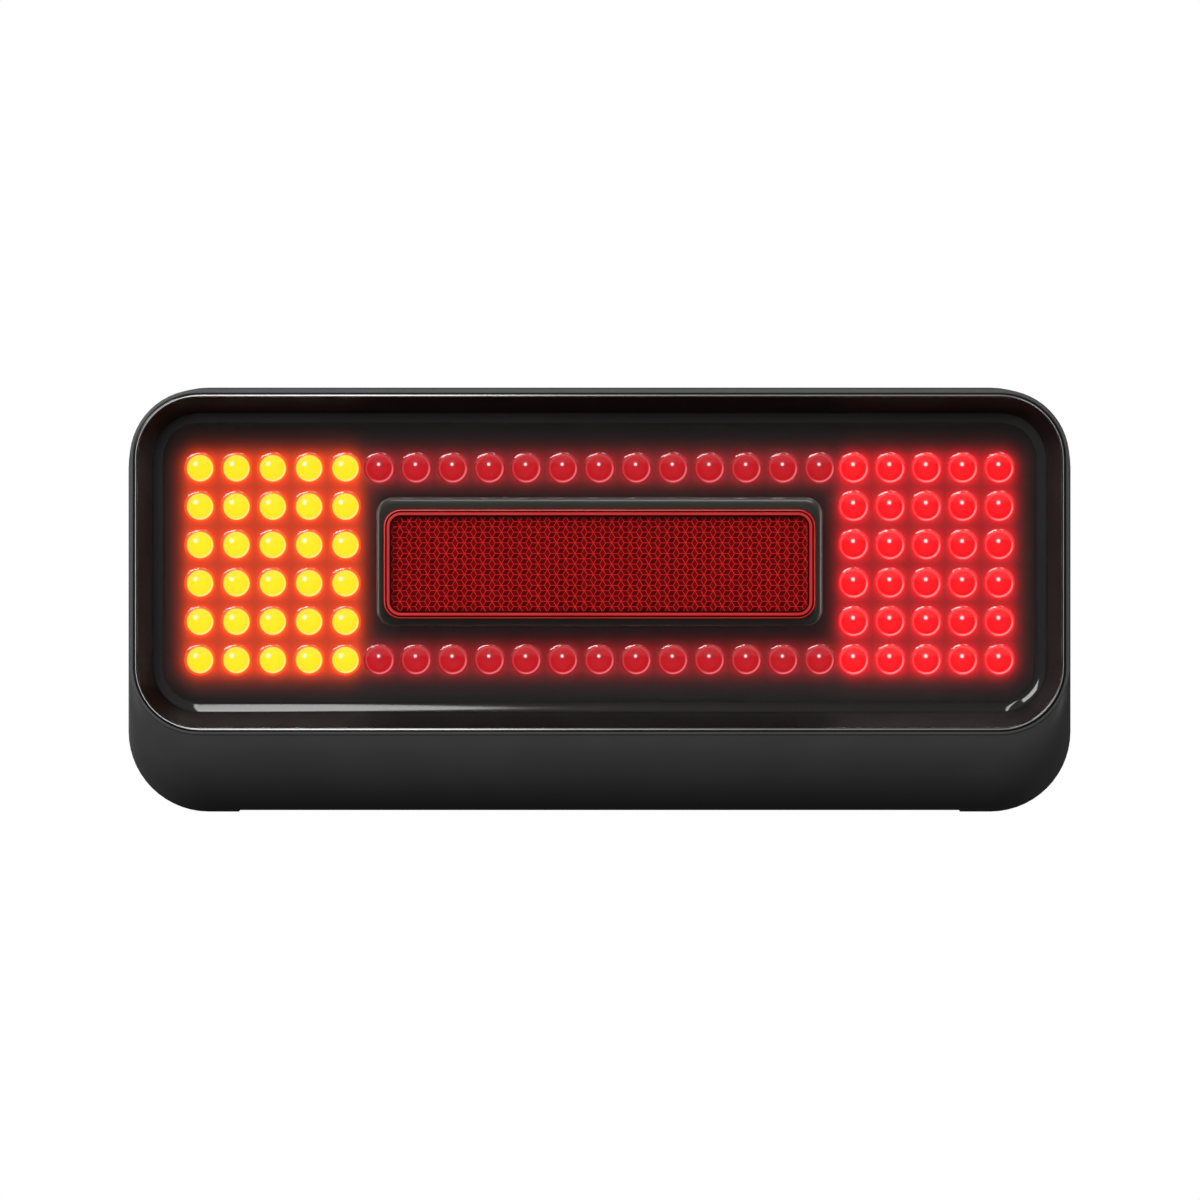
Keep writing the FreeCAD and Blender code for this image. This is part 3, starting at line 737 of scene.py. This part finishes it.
def build_painted_glow_group():
    """Painted glow round a lit grid: full at the LEDs, less between them and none far out."""
    tree = new_group("painted_led_glow", [("Nearest", 0.0), ("Outside", 0.0), ("Reach", 3.0),
                                  ("Between", 0.5)], [("Glow", "NodeSocketFloat")])
    start, end = group_ends(tree)
    rim, ripple_width, fade_start, fade_power = 2.6, 1.7, 2.0, 1.6
    near = calc(tree, "MAXIMUM", calc(tree, "SUBTRACT", start.outputs["Nearest"], rim), 0.0)
    near = calc(tree, "DIVIDE", near, ripple_width)
    ripple = calc(tree, "MULTIPLY", calc(tree, "MULTIPLY", near, near), -1.0)
    ripple = calc(tree, "EXPONENT", ripple)
    even = calc(tree, "SUBTRACT", 1.0, start.outputs["Between"])
    body = calc(tree, "ADD", start.outputs["Between"], calc(tree, "MULTIPLY", ripple, even))
    far = calc(tree, "MAXIMUM", calc(tree, "SUBTRACT", start.outputs["Outside"], fade_start), 0.0)
    far = calc(tree, "DIVIDE", far, start.outputs["Reach"])
    fade = calc(tree, "MULTIPLY", calc(tree, "POWER", far, fade_power), -1.0)
    fade = calc(tree, "EXPONENT", fade)
    tree.links.new(calc(tree, "MULTIPLY", body, fade), end.inputs["Glow"])
    return tree


groups = {
    "grain": build_grain_group(),
    "dust": build_dust_group(),
    "wear_and_sheen": build_wear_and_sheen_group(),
    "grid": build_led_grid_group(),
    "glow": build_painted_glow_group(),
}


def use(tree, group, **values):
    """Places a node group and sets or links its inputs; underscores stand for spaces."""
    node = tree.nodes.new("ShaderNodeGroup")
    node.node_tree = groups[group]
    for socket, value in values.items():
        feed(tree, node.inputs[socket.replace("_", " ")], value)
    return node.outputs


# ---------- materials

dust_colour = (0.22, 0.21, 0.2, 1)
worn_plate_and_sheen = (0.86, 0.86, 0.84, 1)
cup_colour = (0.25, 0.1, 0.12, 1)
acrylic_ior = 1.49
grain_relief = 0.00006       # bump distances, in metres
plate_relief = 0.00004
ripple_relief = 0.00002


def shaded(colour, factor, lift=0.0):
    """A colour made darker or lighter by a factor, up to white."""
    return tuple(min(1.0, part * factor + lift) for part in colour[:3]) + (1,)


def new_material(name, **sockets):
    """A material with one Principled shader; underscores in socket names stand for spaces."""
    material = bpy.data.materials.new(name)
    material.use_nodes = True
    tree = material.node_tree
    shader = tree.nodes["Principled BSDF"]
    for socket, value in sockets.items():
        feed(tree, shader.inputs[socket.replace("_", " ")], value)
    return material, tree, shader


def bump(tree, shader, height, strength, distance):
    """Raises the shader's normal by a height."""
    node = tree.nodes.new("ShaderNodeBump")
    node.inputs["Strength"].default_value = strength
    node.inputs["Distance"].default_value = distance
    tree.links.new(height, node.inputs["Height"])
    tree.links.new(node.outputs[0], shader.inputs["Normal"])


def mottle(tree, shader, texture, first, second):
    """Base colour that wanders between two colours."""
    tree.links.new(blend_colour(tree, texture["Variation"], first, second),
                   shader.inputs["Base Color"])


def vary_gloss(tree, shader, texture, spread, least):
    """Roughness that wanders from its least value up by a spread."""
    tree.links.new(calc(tree, "MULTIPLY_ADD", texture["Variation"], spread, least),
                   shader.inputs["Roughness"])


def moulded_plastic(name, colour, roughness, grain_scale, grain, dust, wear_and_sheen, uneven=0.12,
                    **sockets):
    """Moulded plastic or rubber with fine grain, a little dust and paler outer edges, which are
    wear and a painted sheen.
    """
    material, tree, shader = new_material(name, **sockets)
    texture = use(tree, "grain", Scale=grain_scale, Patch_Scale=70.0)
    dusty = use(tree, "dust", Amount=dust, Scale=240.0)["Mask"]
    wear_and_sheen_mask = use(tree, "wear_and_sheen", Radius=0.0003, Amount=wear_and_sheen)["Mask"]
    base = blend_colour(tree, texture["Variation"], shaded(colour, 0.86), shaded(colour, 1.12))
    base = blend_colour(tree, wear_and_sheen_mask, base, shaded(colour, 1.6, 0.012))
    base = blend_colour(tree, dusty, base, dust_colour)
    tree.links.new(base, shader.inputs["Base Color"])
    rough = calc(tree, "MULTIPLY_ADD", texture["Variation"], uneven, roughness - uneven / 2)
    rough = calc(tree, "ADD", rough, calc(tree, "MULTIPLY", dusty, 0.3), clamp=True)
    tree.links.new(rough, shader.inputs["Roughness"])
    bump(tree, shader, texture["Height"], grain, grain_relief)
    return material


def plated_metal(name, colour, roughness):
    """Zinc or tin plate: fine mottling, paler edges that are wear and a painted sheen, and a
    slightly uneven gloss.
    """
    material, tree, shader = new_material(name, Metallic=1.0)
    texture = use(tree, "grain", Scale=3500.0, Patch_Scale=700.0)
    wear_and_sheen_mask = use(tree, "wear_and_sheen", Radius=0.0002, Amount=0.6)["Mask"]
    base = blend_colour(tree, texture["Variation"], shaded(colour, 0.72), colour)
    base = blend_colour(tree, wear_and_sheen_mask, base, worn_plate_and_sheen)
    tree.links.new(base, shader.inputs["Base Color"])
    vary_gloss(tree, shader, texture, 0.25, roughness - 0.1)
    bump(tree, shader, texture["Height"], 0.12, plate_relief)
    return material


def let_light_through(tree, shader, tint):
    """Shadow rays pass the clear plastic, tinted, so that lamps light what lies behind it."""
    path = tree.nodes.new("ShaderNodeLightPath")
    through = tree.nodes.new("ShaderNodeBsdfTransparent")
    through.inputs["Color"].default_value = tint
    mix = tree.nodes.new("ShaderNodeMixShader")
    tree.links.new(path.outputs["Is Shadow Ray"], mix.inputs["Fac"])
    tree.links.new(shader.outputs[0], mix.inputs[1])
    tree.links.new(through.outputs[0], mix.inputs[2])
    tree.links.new(mix.outputs[0], tree.nodes["Material Output"].inputs["Surface"])


def clear_plastic(name, tint):
    """Polished clear plastic with a faint moulding ripple."""
    material, tree, shader = new_material(name, Metallic=0.0, Transmission_Weight=1.0,
                                          IOR=acrylic_ior)
    texture = use(tree, "grain", Scale=500.0, Patch_Scale=30.0)
    mottle(tree, shader, texture, tint, shaded(tint, 1.04))
    haze = calc(tree, "MULTIPLY", texture["Variation"], 0.02)
    tree.links.new(haze, shader.inputs["Roughness"])
    bump(tree, shader, texture["Height"], 0.02, ripple_relief)
    let_light_through(tree, shader, tint)
    return material


def grid_values(node):
    """Inputs of the grid group for one block of LEDs."""
    (x0, z0, pitch_x, pitch_z), across, up = led_grids[node]
    return dict(First_X=x0, First_Z=z0, Pitch_X=pitch_x, Pitch_Z=pitch_z,
                Last_X=across - 1.0, Last_Z=up - 1.0)


def row_values(node, row):
    """Grid values for a single row of LEDs."""
    values = grid_values(node)
    values["First_Z"] += values["Pitch_Z"] * row
    values["Last_Z"] = 0.0
    return values


painted_tail_glow = (0.34, 0.007, 0.010, 1)
painted_glows = [                    # painted glow on the mask: grid, colour, reach in mm, and strength between the LEDs
    (grid_values("indicator_leds"), (1.0, 0.062, 0.006, 1), 2.3, 0.58),
    (grid_values("stop_leds"), (0.80, 0.007, 0.012, 1), 2.3, 0.42),
    (row_values("tail_leds", 0), painted_tail_glow, 2.2, 0.5),
    (row_values("tail_leds", 1), painted_tail_glow, 2.2, 0.5),
]


def mask_material():
    """Black mask with a painted glow round the LEDs that pass through it."""
    material, tree, shader = new_material("mask_black", Emission_Strength=1.0)
    texture = use(tree, "grain", Scale=3000.0, Patch_Scale=90.0)
    mottle(tree, shader, texture, (0.007, 0.005, 0.005, 1), (0.011, 0.008, 0.008, 1))
    vary_gloss(tree, shader, texture, 0.1, 0.45)
    total = None
    for values, colour, reach, between in painted_glows:
        grid = use(tree, "grid", **values)
        glow = use(tree, "glow", Nearest=grid["Nearest"], Outside=grid["Outside"], Reach=reach,
                   Between=between)["Glow"]
        lit = blend_colour(tree, glow, (0, 0, 0, 1), colour)
        total = lit if total is None else blend_colour(tree, 1.0, total, lit, "ADD")
    tree.links.new(total, shader.inputs["Emission Color"])
    bump(tree, shader, texture["Height"], 0.1, plate_relief)
    return material


def led_material(name, node, glow, core, core_radius, crescent, chip, chip_place, chip_radius,
                 cup_shade):
    """A lit LED: a bright middle, a deeper edge, a painted highlight along the rim low on the
    right, and a bright dot that is the die on the red LEDs and a painted highlight on the amber
    ones.
    """
    material, tree, shader = new_material(name, Roughness=0.4, Specular_IOR_Level=0.2,
                                          Emission_Strength=1.0)
    texture = use(tree, "grain", Scale=2500.0, Patch_Scale=400.0)
    mottle(tree, shader, texture, shaded(core, 0.25), glow)
    grid = use(tree, "grid", **grid_values(node))
    edge_width = 0.14
    disc = smooth_step(tree, grid["Nearest"], core_radius, core_radius + edge_width, 1.0, 0.0)
    colour = blend_colour(tree, disc, glow, core)
    # Painted highlight: a paler ring at the rim, strongest low on the right.
    side = calc(tree, "SUBTRACT", calc(tree, "MULTIPLY", grid["Across"], 0.6),
                calc(tree, "MULTIPLY", grid["Up"], 0.8))
    lower_right_highlight = smooth_step(tree, side, 0.2, 1.8, 0.22, 1.0)
    off_rim = calc(tree, "SUBTRACT", grid["Nearest"], core_radius - 0.04)
    ring = smooth_step(tree, calc(tree, "ABSOLUTE", off_rim), 0.04, 0.17, 1.0, 0.0)
    colour = blend_colour(tree, calc(tree, "MULTIPLY", ring, lower_right_highlight), colour, crescent)
    # Bright dot: the die in its cup on the red LEDs, a painted highlight on the amber ones.
    shift = [calc(tree, "SUBTRACT", grid[axis], offset)
             for axis, offset in zip(("Across", "Up"), chip_place)]
    away = length_of(tree, *shift)
    cup = smooth_step(tree, away, chip_radius * 0.9, chip_radius * 1.9, 1.0, 0.0)
    colour = blend_colour(tree, calc(tree, "MULTIPLY", cup, cup_shade), colour, cup_colour)
    spot = smooth_step(tree, away, chip_radius * 0.6, chip_radius * 1.1, 1.0, 0.0)
    colour = blend_colour(tree, spot, colour, chip)
    tree.links.new(colour, shader.inputs["Emission Color"])
    return material


def prism_material(name, dark, light, roughness):
    """Deep red moulded plastic of the corner-cube cells."""
    material, tree, shader = new_material(name, IOR=acrylic_ior)
    texture = use(tree, "grain", Scale=1500.0, Patch_Scale=160.0)
    mottle(tree, shader, texture, dark, light)
    vary_gloss(tree, shader, texture, 0.1, roughness)
    bump(tree, shader, texture["Height"], 0.05, ripple_relief)
    return material


plastics = {                 # colour, roughness, grain scale, and how much grain, dust and edge wear with a painted sheen
    "housing_black": ((0.050, 0.050, 0.0515, 1), 0.42, 5200.0, 0.10, 0.01, 0.1),
    "plate_black": ((0.026, 0.026, 0.028, 1), 0.5, 2600.0, 0.4, 0.12, 0.25),
    "baffle_black": ((0.02, 0.02, 0.02, 1), 0.5, 2600.0, 0.2, 0.0, 0.1),
    "holder_black": ((0.10, 0.096, 0.085, 1), 0.25, 3000.0, 0.03, 0.02, 0.1),
    "seal_rubber": ((0.018, 0.018, 0.018, 1), 0.6, 1800.0, 0.25, 0.12, 0.15),
    "gasket_foam": ((0.035, 0.035, 0.037, 1), 0.85, 900.0, 0.9, 0.1, 0.1),
    "chip_black": ((0.02, 0.02, 0.02, 1), 0.4, 3000.0, 0.2, 0.0, 0.2),
    "terminal_green": ((0.02, 0.16, 0.06, 1), 0.35, 3000.0, 0.1, 0.0, 0.2),
    "board_green": ((0.01, 0.09, 0.035, 1), 0.3, 900.0, 0.15, 0.0, 0.2),
    "membrane_white": ((0.75, 0.75, 0.73, 1), 0.8, 2500.0, 0.5, 0.2, 0.0),
    "backing_red": ((0.30, 0.008, 0.01, 1), 0.35, 2500.0, 0.1, 0.0, 0.0),
    "lens_border": ((0.005, 0.0035, 0.0035, 1), 0.42, 3000.0, 0.02, 0.0, 0.0),
    # The fillet is paler than the border: painted light; its high gloss is its own.
    "lens_fillet_painted_light": ((0.025, 0.023, 0.023, 1), 0.06, 3000.0, 0.0, 0.0, 0.0),
    "lens_bead": ((0.014, 0.013, 0.013, 1), 0.10, 3000.0, 0.0, 0.0, 0.0),
    # Bead and groove of the reflector's cover: painted light and painted shade.
    "reflector_bead_painted_light": ((0.55, 0.022, 0.020, 1), 0.2, 1500.0, 0.0, 0.0, 0.0),
    "reflector_groove_painted_shade": ((0.016, 0.001, 0.002, 1), 0.6, 1500.0, 0.0, 0.0, 0.0),
}
polish = {                   # how strongly a plastic reflects, and how uneven its gloss is
    "housing_black": dict(Specular_IOR_Level=0.3),
    "lens_border": dict(Specular_IOR_Level=0.14),
    "lens_fillet_painted_light": dict(Specular_IOR_Level=0.4, uneven=0.03),
    "lens_bead": dict(Specular_IOR_Level=0.6, uneven=0.04),
    "reflector_bead_painted_light": dict(Specular_IOR_Level=0.3),
    "reflector_groove_painted_shade": dict(Specular_IOR_Level=0.05),
}
metals = {                   # colour and roughness
    "zinc_steel": ((0.62, 0.63, 0.65, 1), 0.34),
    "tinned_wire": ((0.75, 0.74, 0.72, 1), 0.3),
    "can_aluminium": ((0.80, 0.80, 0.81, 1), 0.28),
}
clear_tints = {
    "lens_clear": (0.97, 0.965, 0.965, 1),
    "reflector_red": (1.0, 0.30, 0.30, 1),
}
prism_reds = {               # darker and lighter colour, and roughness
    "prism_red": ((0.030, 0.0015, 0.002, 1), (0.050, 0.002, 0.003, 1), 0.55),
    # The ridges' paler red is a painted highlight.
    "prism_ridge_highlight": ((0.26, 0.06, 0.06, 1), (0.36, 0.09, 0.09, 1), 0.5),
}
led_colours = {              # the dot's place and the radii are in mm from the LED's centre; the paler crescent is a painted highlight, and the bright dot is the die on the red LEDs and a painted highlight on the amber ones
    "led_amber": dict(
        node="indicator_leds", glow=(1.0, 0.10, 0.01, 1), core=(0.88, 0.84, 0.016, 1),
        core_radius=1.98, crescent=(1.0, 0.88, 0.34, 1), chip=(1.0, 1.0, 0.70, 1),
        chip_place=(-0.76, 0.70), chip_radius=0.42, cup_shade=0.0),
    "led_tail_red": dict(
        node="tail_leds", glow=(0.30, 0.006, 0.01, 1), core=(0.49, 0.008, 0.014, 1),
        core_radius=2.10, crescent=(0.85, 0.18, 0.20, 1), chip=(1.0, 0.80, 0.80, 1),
        chip_place=(-0.12, 0.66), chip_radius=0.30, cup_shade=0.7),
    "led_stop_red": dict(
        node="stop_leds", glow=(0.76, 0.008, 0.014, 1), core=(0.90, 0.008, 0.013, 1),
        core_radius=2.10, crescent=(1.0, 0.30, 0.31, 1), chip=(1.0, 0.88, 0.88, 1),
        chip_place=(-0.12, 0.66), chip_radius=0.34, cup_shade=0.7),
}
materials = {"mask_black": mask_material()}
for finish, recipe in plastics.items():
    materials[finish] = moulded_plastic(finish, *recipe, **polish.get(finish, {}))
for finish, recipe in metals.items():
    materials[finish] = plated_metal(finish, *recipe)
for finish, tint in clear_tints.items():
    materials[finish] = clear_plastic(finish, tint)
for finish, recipe in prism_reds.items():
    materials[finish] = prism_material(finish, *recipe)
for finish, recipe in led_colours.items():
    materials[finish] = led_material(finish, **recipe)


def dress(piece, *names):
    """Puts materials in a piece's slots; clearing the slots would renumber its faces."""
    slots = piece.data.materials
    for index in range(max(len(slots), len(names))):
        material = materials[names[min(index, len(names) - 1)]]
        if index < len(slots):
            slots[index] = material
        else:
            slots.append(material)


# ---------- pieces

def fit(piece, node, slot, *finishes):
    """Dresses a piece and puts it on the lamp in place of a CAD node."""
    dress(piece, *finishes)
    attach(piece, LAMP)
    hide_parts(node)
    return piece


housing = fit(make_housing(), "bezel_housing", "housing_black", "housing_black")
lens_rim = fit(make_lens_rim(), "outer_lens", "lens_clear", "lens_border", "lens_fillet_painted_light")
lens_bead = fit(make_lens_bead(), "outer_lens", "lens_clear", "lens_bead")
lens_window = fit(make_lens_window(), "outer_lens", "lens_clear", "lens_clear")
fit(make_holder(), "reflector_holder", "holder_black", "holder_black")
cover = fit(make_reflector_cover(), "reflex_reflector", "reflector_red",
            "reflector_red", "reflector_bead_painted_light", "reflector_groove_painted_shade")
prisms = fit(make_reflector_prisms(), "reflex_reflector", "reflector_red",
             "prism_red", "prism_ridge_highlight")
for side in ("left", "right"):
    node = "stud_" + side
    fit(make_stud(node, "threaded_stud_" + side), node, "zinc_steel", "zinc_steel")

carried_over = {
    "plate_black": ("rear_plate", "vent_cap"),
    "baffle_black": ("light_baffle",),
    "seal_rubber": ("plate_seal", "lens_seal", "cable_grommet"),
    "gasket_foam": ("base_gasket", "reflector_tape"),
    "chip_black": ("resistors", "protection_diodes", "current_drivers"),
    "terminal_green": ("wire_terminal",),
    "board_green": ("circuit_board",),
    "membrane_white": ("vent_membrane",),
    "backing_red": ("reflector_backing",),
    "zinc_steel": ("plate_screws", "board_screws", "washer_left", "washer_right", "nut_left",
                   "nut_right"),
    "tinned_wire": ("led_leads",),
    "can_aluminium": ("capacitors",),
    "mask_black": ("led_mask",),
    "led_amber": ("indicator_leds",),
    "led_tail_red": ("tail_leds",),
    "led_stop_red": ("stop_leds",),
}
for finish, names in carried_over.items():
    for name in names:
        dress(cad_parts[name], finish)


# ---------- studio

floor_radius = 2.2
floor_level = -0.165         # well below the lamp, which hangs in the air
floor_fade = (0.9, 2.1)      # distances from the middle between which it fades out


def make_floor():
    """Pale floor, which fades out at its edge."""
    bm = bmesh.new()
    bmesh.ops.create_circle(bm, cap_ends=True, segments=96, radius=floor_radius)
    floor = finished("studio_floor", bm)
    floor.location = (0, 0, floor_level)
    material, tree, shader = new_material("studio_paint", Roughness=0.8)
    tree.links.new(blend_colour(tree, noise(tree, 3.0), (0.80, 0.80, 0.80, 1),
                                (0.84, 0.84, 0.84, 1)), shader.inputs["Base Color"])
    distance = tree.nodes.new("ShaderNodeVectorMath")
    distance.operation = "LENGTH"
    tree.links.new(place(tree), distance.inputs[0])
    tree.links.new(smooth_step(tree, distance.outputs["Value"], *floor_fade, 1.0, 0.0),
                   shader.inputs["Alpha"])
    floor.data.materials.append(material)
    floor.visible_diffuse = False
    floor.visible_glossy = False


def make_light(name, location, target, size, power, roll=0.0):
    """Rectangular area light that the camera does not see; roll turns it about its own axis."""
    data = bpy.data.lights.new(name, "AREA")
    data.shape = "RECTANGLE"
    data.size, data.size_y = size
    data.energy = power
    light = bpy.data.objects.new(name, data)
    light.location = location
    aim = (Vector(target) - Vector(location)).to_track_quat("-Z", "Y")
    light.rotation_euler = (aim @ Quaternion((0, 0, 1), math.radians(roll))).to_euler()
    bpy.context.scene.collection.objects.link(light)
    light.visible_camera = False
    return light


def light_only(light, pieces):
    """Limits a light to some pieces."""
    chosen = bpy.data.collections.new(light.name + "_receivers")
    for piece in pieces:
        chosen.objects.link(piece)
    light.light_linking.receiver_collection = chosen


def keep_off(light, pieces):
    """Keeps a light from some pieces."""
    shaded = bpy.data.collections.new(light.name + "_shaded")
    for piece in pieces:
        shaded.objects.link(piece)
    for member in shaded.collection_objects:
        member.light_linking.link_state = "EXCLUDE"
    light.light_linking.receiver_collection = shaded


def direction(azimuth, off_axis, distance, start=(0, -0.027, 0)):
    """A point seen from the lens: azimuth round its axis from +X, and angle from straight ahead."""
    turn, tilt = math.radians(azimuth), math.radians(off_axis)
    ray = Vector((math.sin(tilt) * math.cos(turn), -math.cos(tilt),
                  math.sin(tilt) * math.sin(turn)))
    return Vector(start) + ray * distance


make_floor()
middle = (0, -0.02, 0)
lens_parts = [lens_rim, lens_bead]

# Soft lights round the lamp. The polished lens has its own panels, so these keep off it, all but
# back_soft.
# Sizes are in metres, as (width, height), and powers in watts.
high_top = make_light("high_top", (-0.1, -0.12, 1.1), middle, size=(1.7, 0.5), power=12.0)
keep_off(high_top, lens_parts)
front_soft = make_light("front_soft", (-0.8, -2.3, 0.7), middle, size=(1.8, 1.0), power=52.0)
light_only(front_soft, [housing, cover, prisms])
side_size, side_power = (0.4, 1.0), 7.0
side_right = make_light("side_right", (1.1, -0.25, -0.05), middle, side_size, side_power)
keep_off(side_right, lens_parts)
side_left = make_light("side_left", (-1.1, -0.2, 0.1), middle, side_size, side_power)
keep_off(side_left, lens_parts)
make_light("back_soft", (-1.2, 1.1, 0.75), middle, size=(1.4, 1.0), power=18.0)
back_right = make_light("back_right", (1.3, 1.3, 0.35), middle, size=(1.2, 0.9), power=16.0)
keep_off(back_right, [housing] + lens_parts)

# Row of panels whose reflection is the streak along the lower fillet, thinner to the right.
streak_panels = (            # left and right end in mm, height in metres
    (-86.5, -48, 1.25), (-48, -34, 0.95), (-34, -24, 0.6), (-24, -18, 0.3))
streak_strength = 34.0       # watts for each square metre
fillet_spot = Vector((0, -0.027, -0.022))
for number, (left, right, height) in enumerate(streak_panels):
    spot = fillet_spot + Vector(((left + right) / 2 * MM, 0, 0))
    width = (right - left) * MM
    panel = make_light("streak_panel_" + str(number), direction(90, 50, 1.0, spot), spot,
                       size=(width, height), power=streak_strength * width * height)
    light_only(panel, [lens_rim])

# Short streak in the lower right corner of the fillet.
corner_panel = make_light("corner_panel", direction(134, 43, 1.0), middle, size=(0.42, 0.56),
                          power=8.8, roll=44.0)
light_only(corner_panel, lens_parts)

# Shine along the bead, brightest at the left.
bead_panels = (              # middle in x, width, distance, watts for each square metre
    (0.02, 0.24, 1.6, 12.0), (-0.068, 0.09, 1.4, 60.0))
bead_panel_height = 1.2
for number, (x, width, distance, strength) in enumerate(bead_panels):
    bead_spot = (x, -0.03, 0)
    bead_panel = make_light("bead_panel_" + str(number), direction(90, 4, distance, bead_spot),
                            bead_spot, size=(width, bead_panel_height),
                            power=strength * width * bead_panel_height)
    light_only(bead_panel, [lens_bead])

# Arc on the upper left of every dome.
dome_panel = make_light("dome_panel", direction(130, 57.8, 1.5), middle, size=(1.6, 0.14),
                        power=11.0, roll=40.0)
light_only(dome_panel, [lens_window])

world = bpy.data.worlds.new("studio_air")
bpy.context.scene.world = world
world.use_nodes = True
air = world.node_tree
background = air.nodes["Background"]
background.inputs["Color"].default_value = (1, 1, 1, 1)
seen = air.nodes.new("ShaderNodeLightPath").outputs["Is Camera Ray"]
ambient = 0.035              # what the pale surroundings give every surface
air.links.new(calc(air, "MULTIPLY_ADD", seen, 1 - ambient, ambient),
              background.inputs["Strength"])

scene = bpy.context.scene
scene.view_settings.view_transform = "Standard"
scene.view_settings.look = "None"

camera_distance = 8.0
frame_width = 0.2548         # what the view takes in at the mounting face
sensor_width = 36.0
camera_data = bpy.data.cameras.new("camera")
camera_data.sensor_width = sensor_width
camera_data.lens = sensor_width * camera_distance / frame_width
camera_data.clip_end = 60.0
camera = bpy.data.objects.new("camera", camera_data)
camera.location = (0.0001, -camera_distance, -0.0001)
camera.rotation_euler = (math.pi / 2, 0, 0)
scene.collection.objects.link(camera)
scene.camera = camera
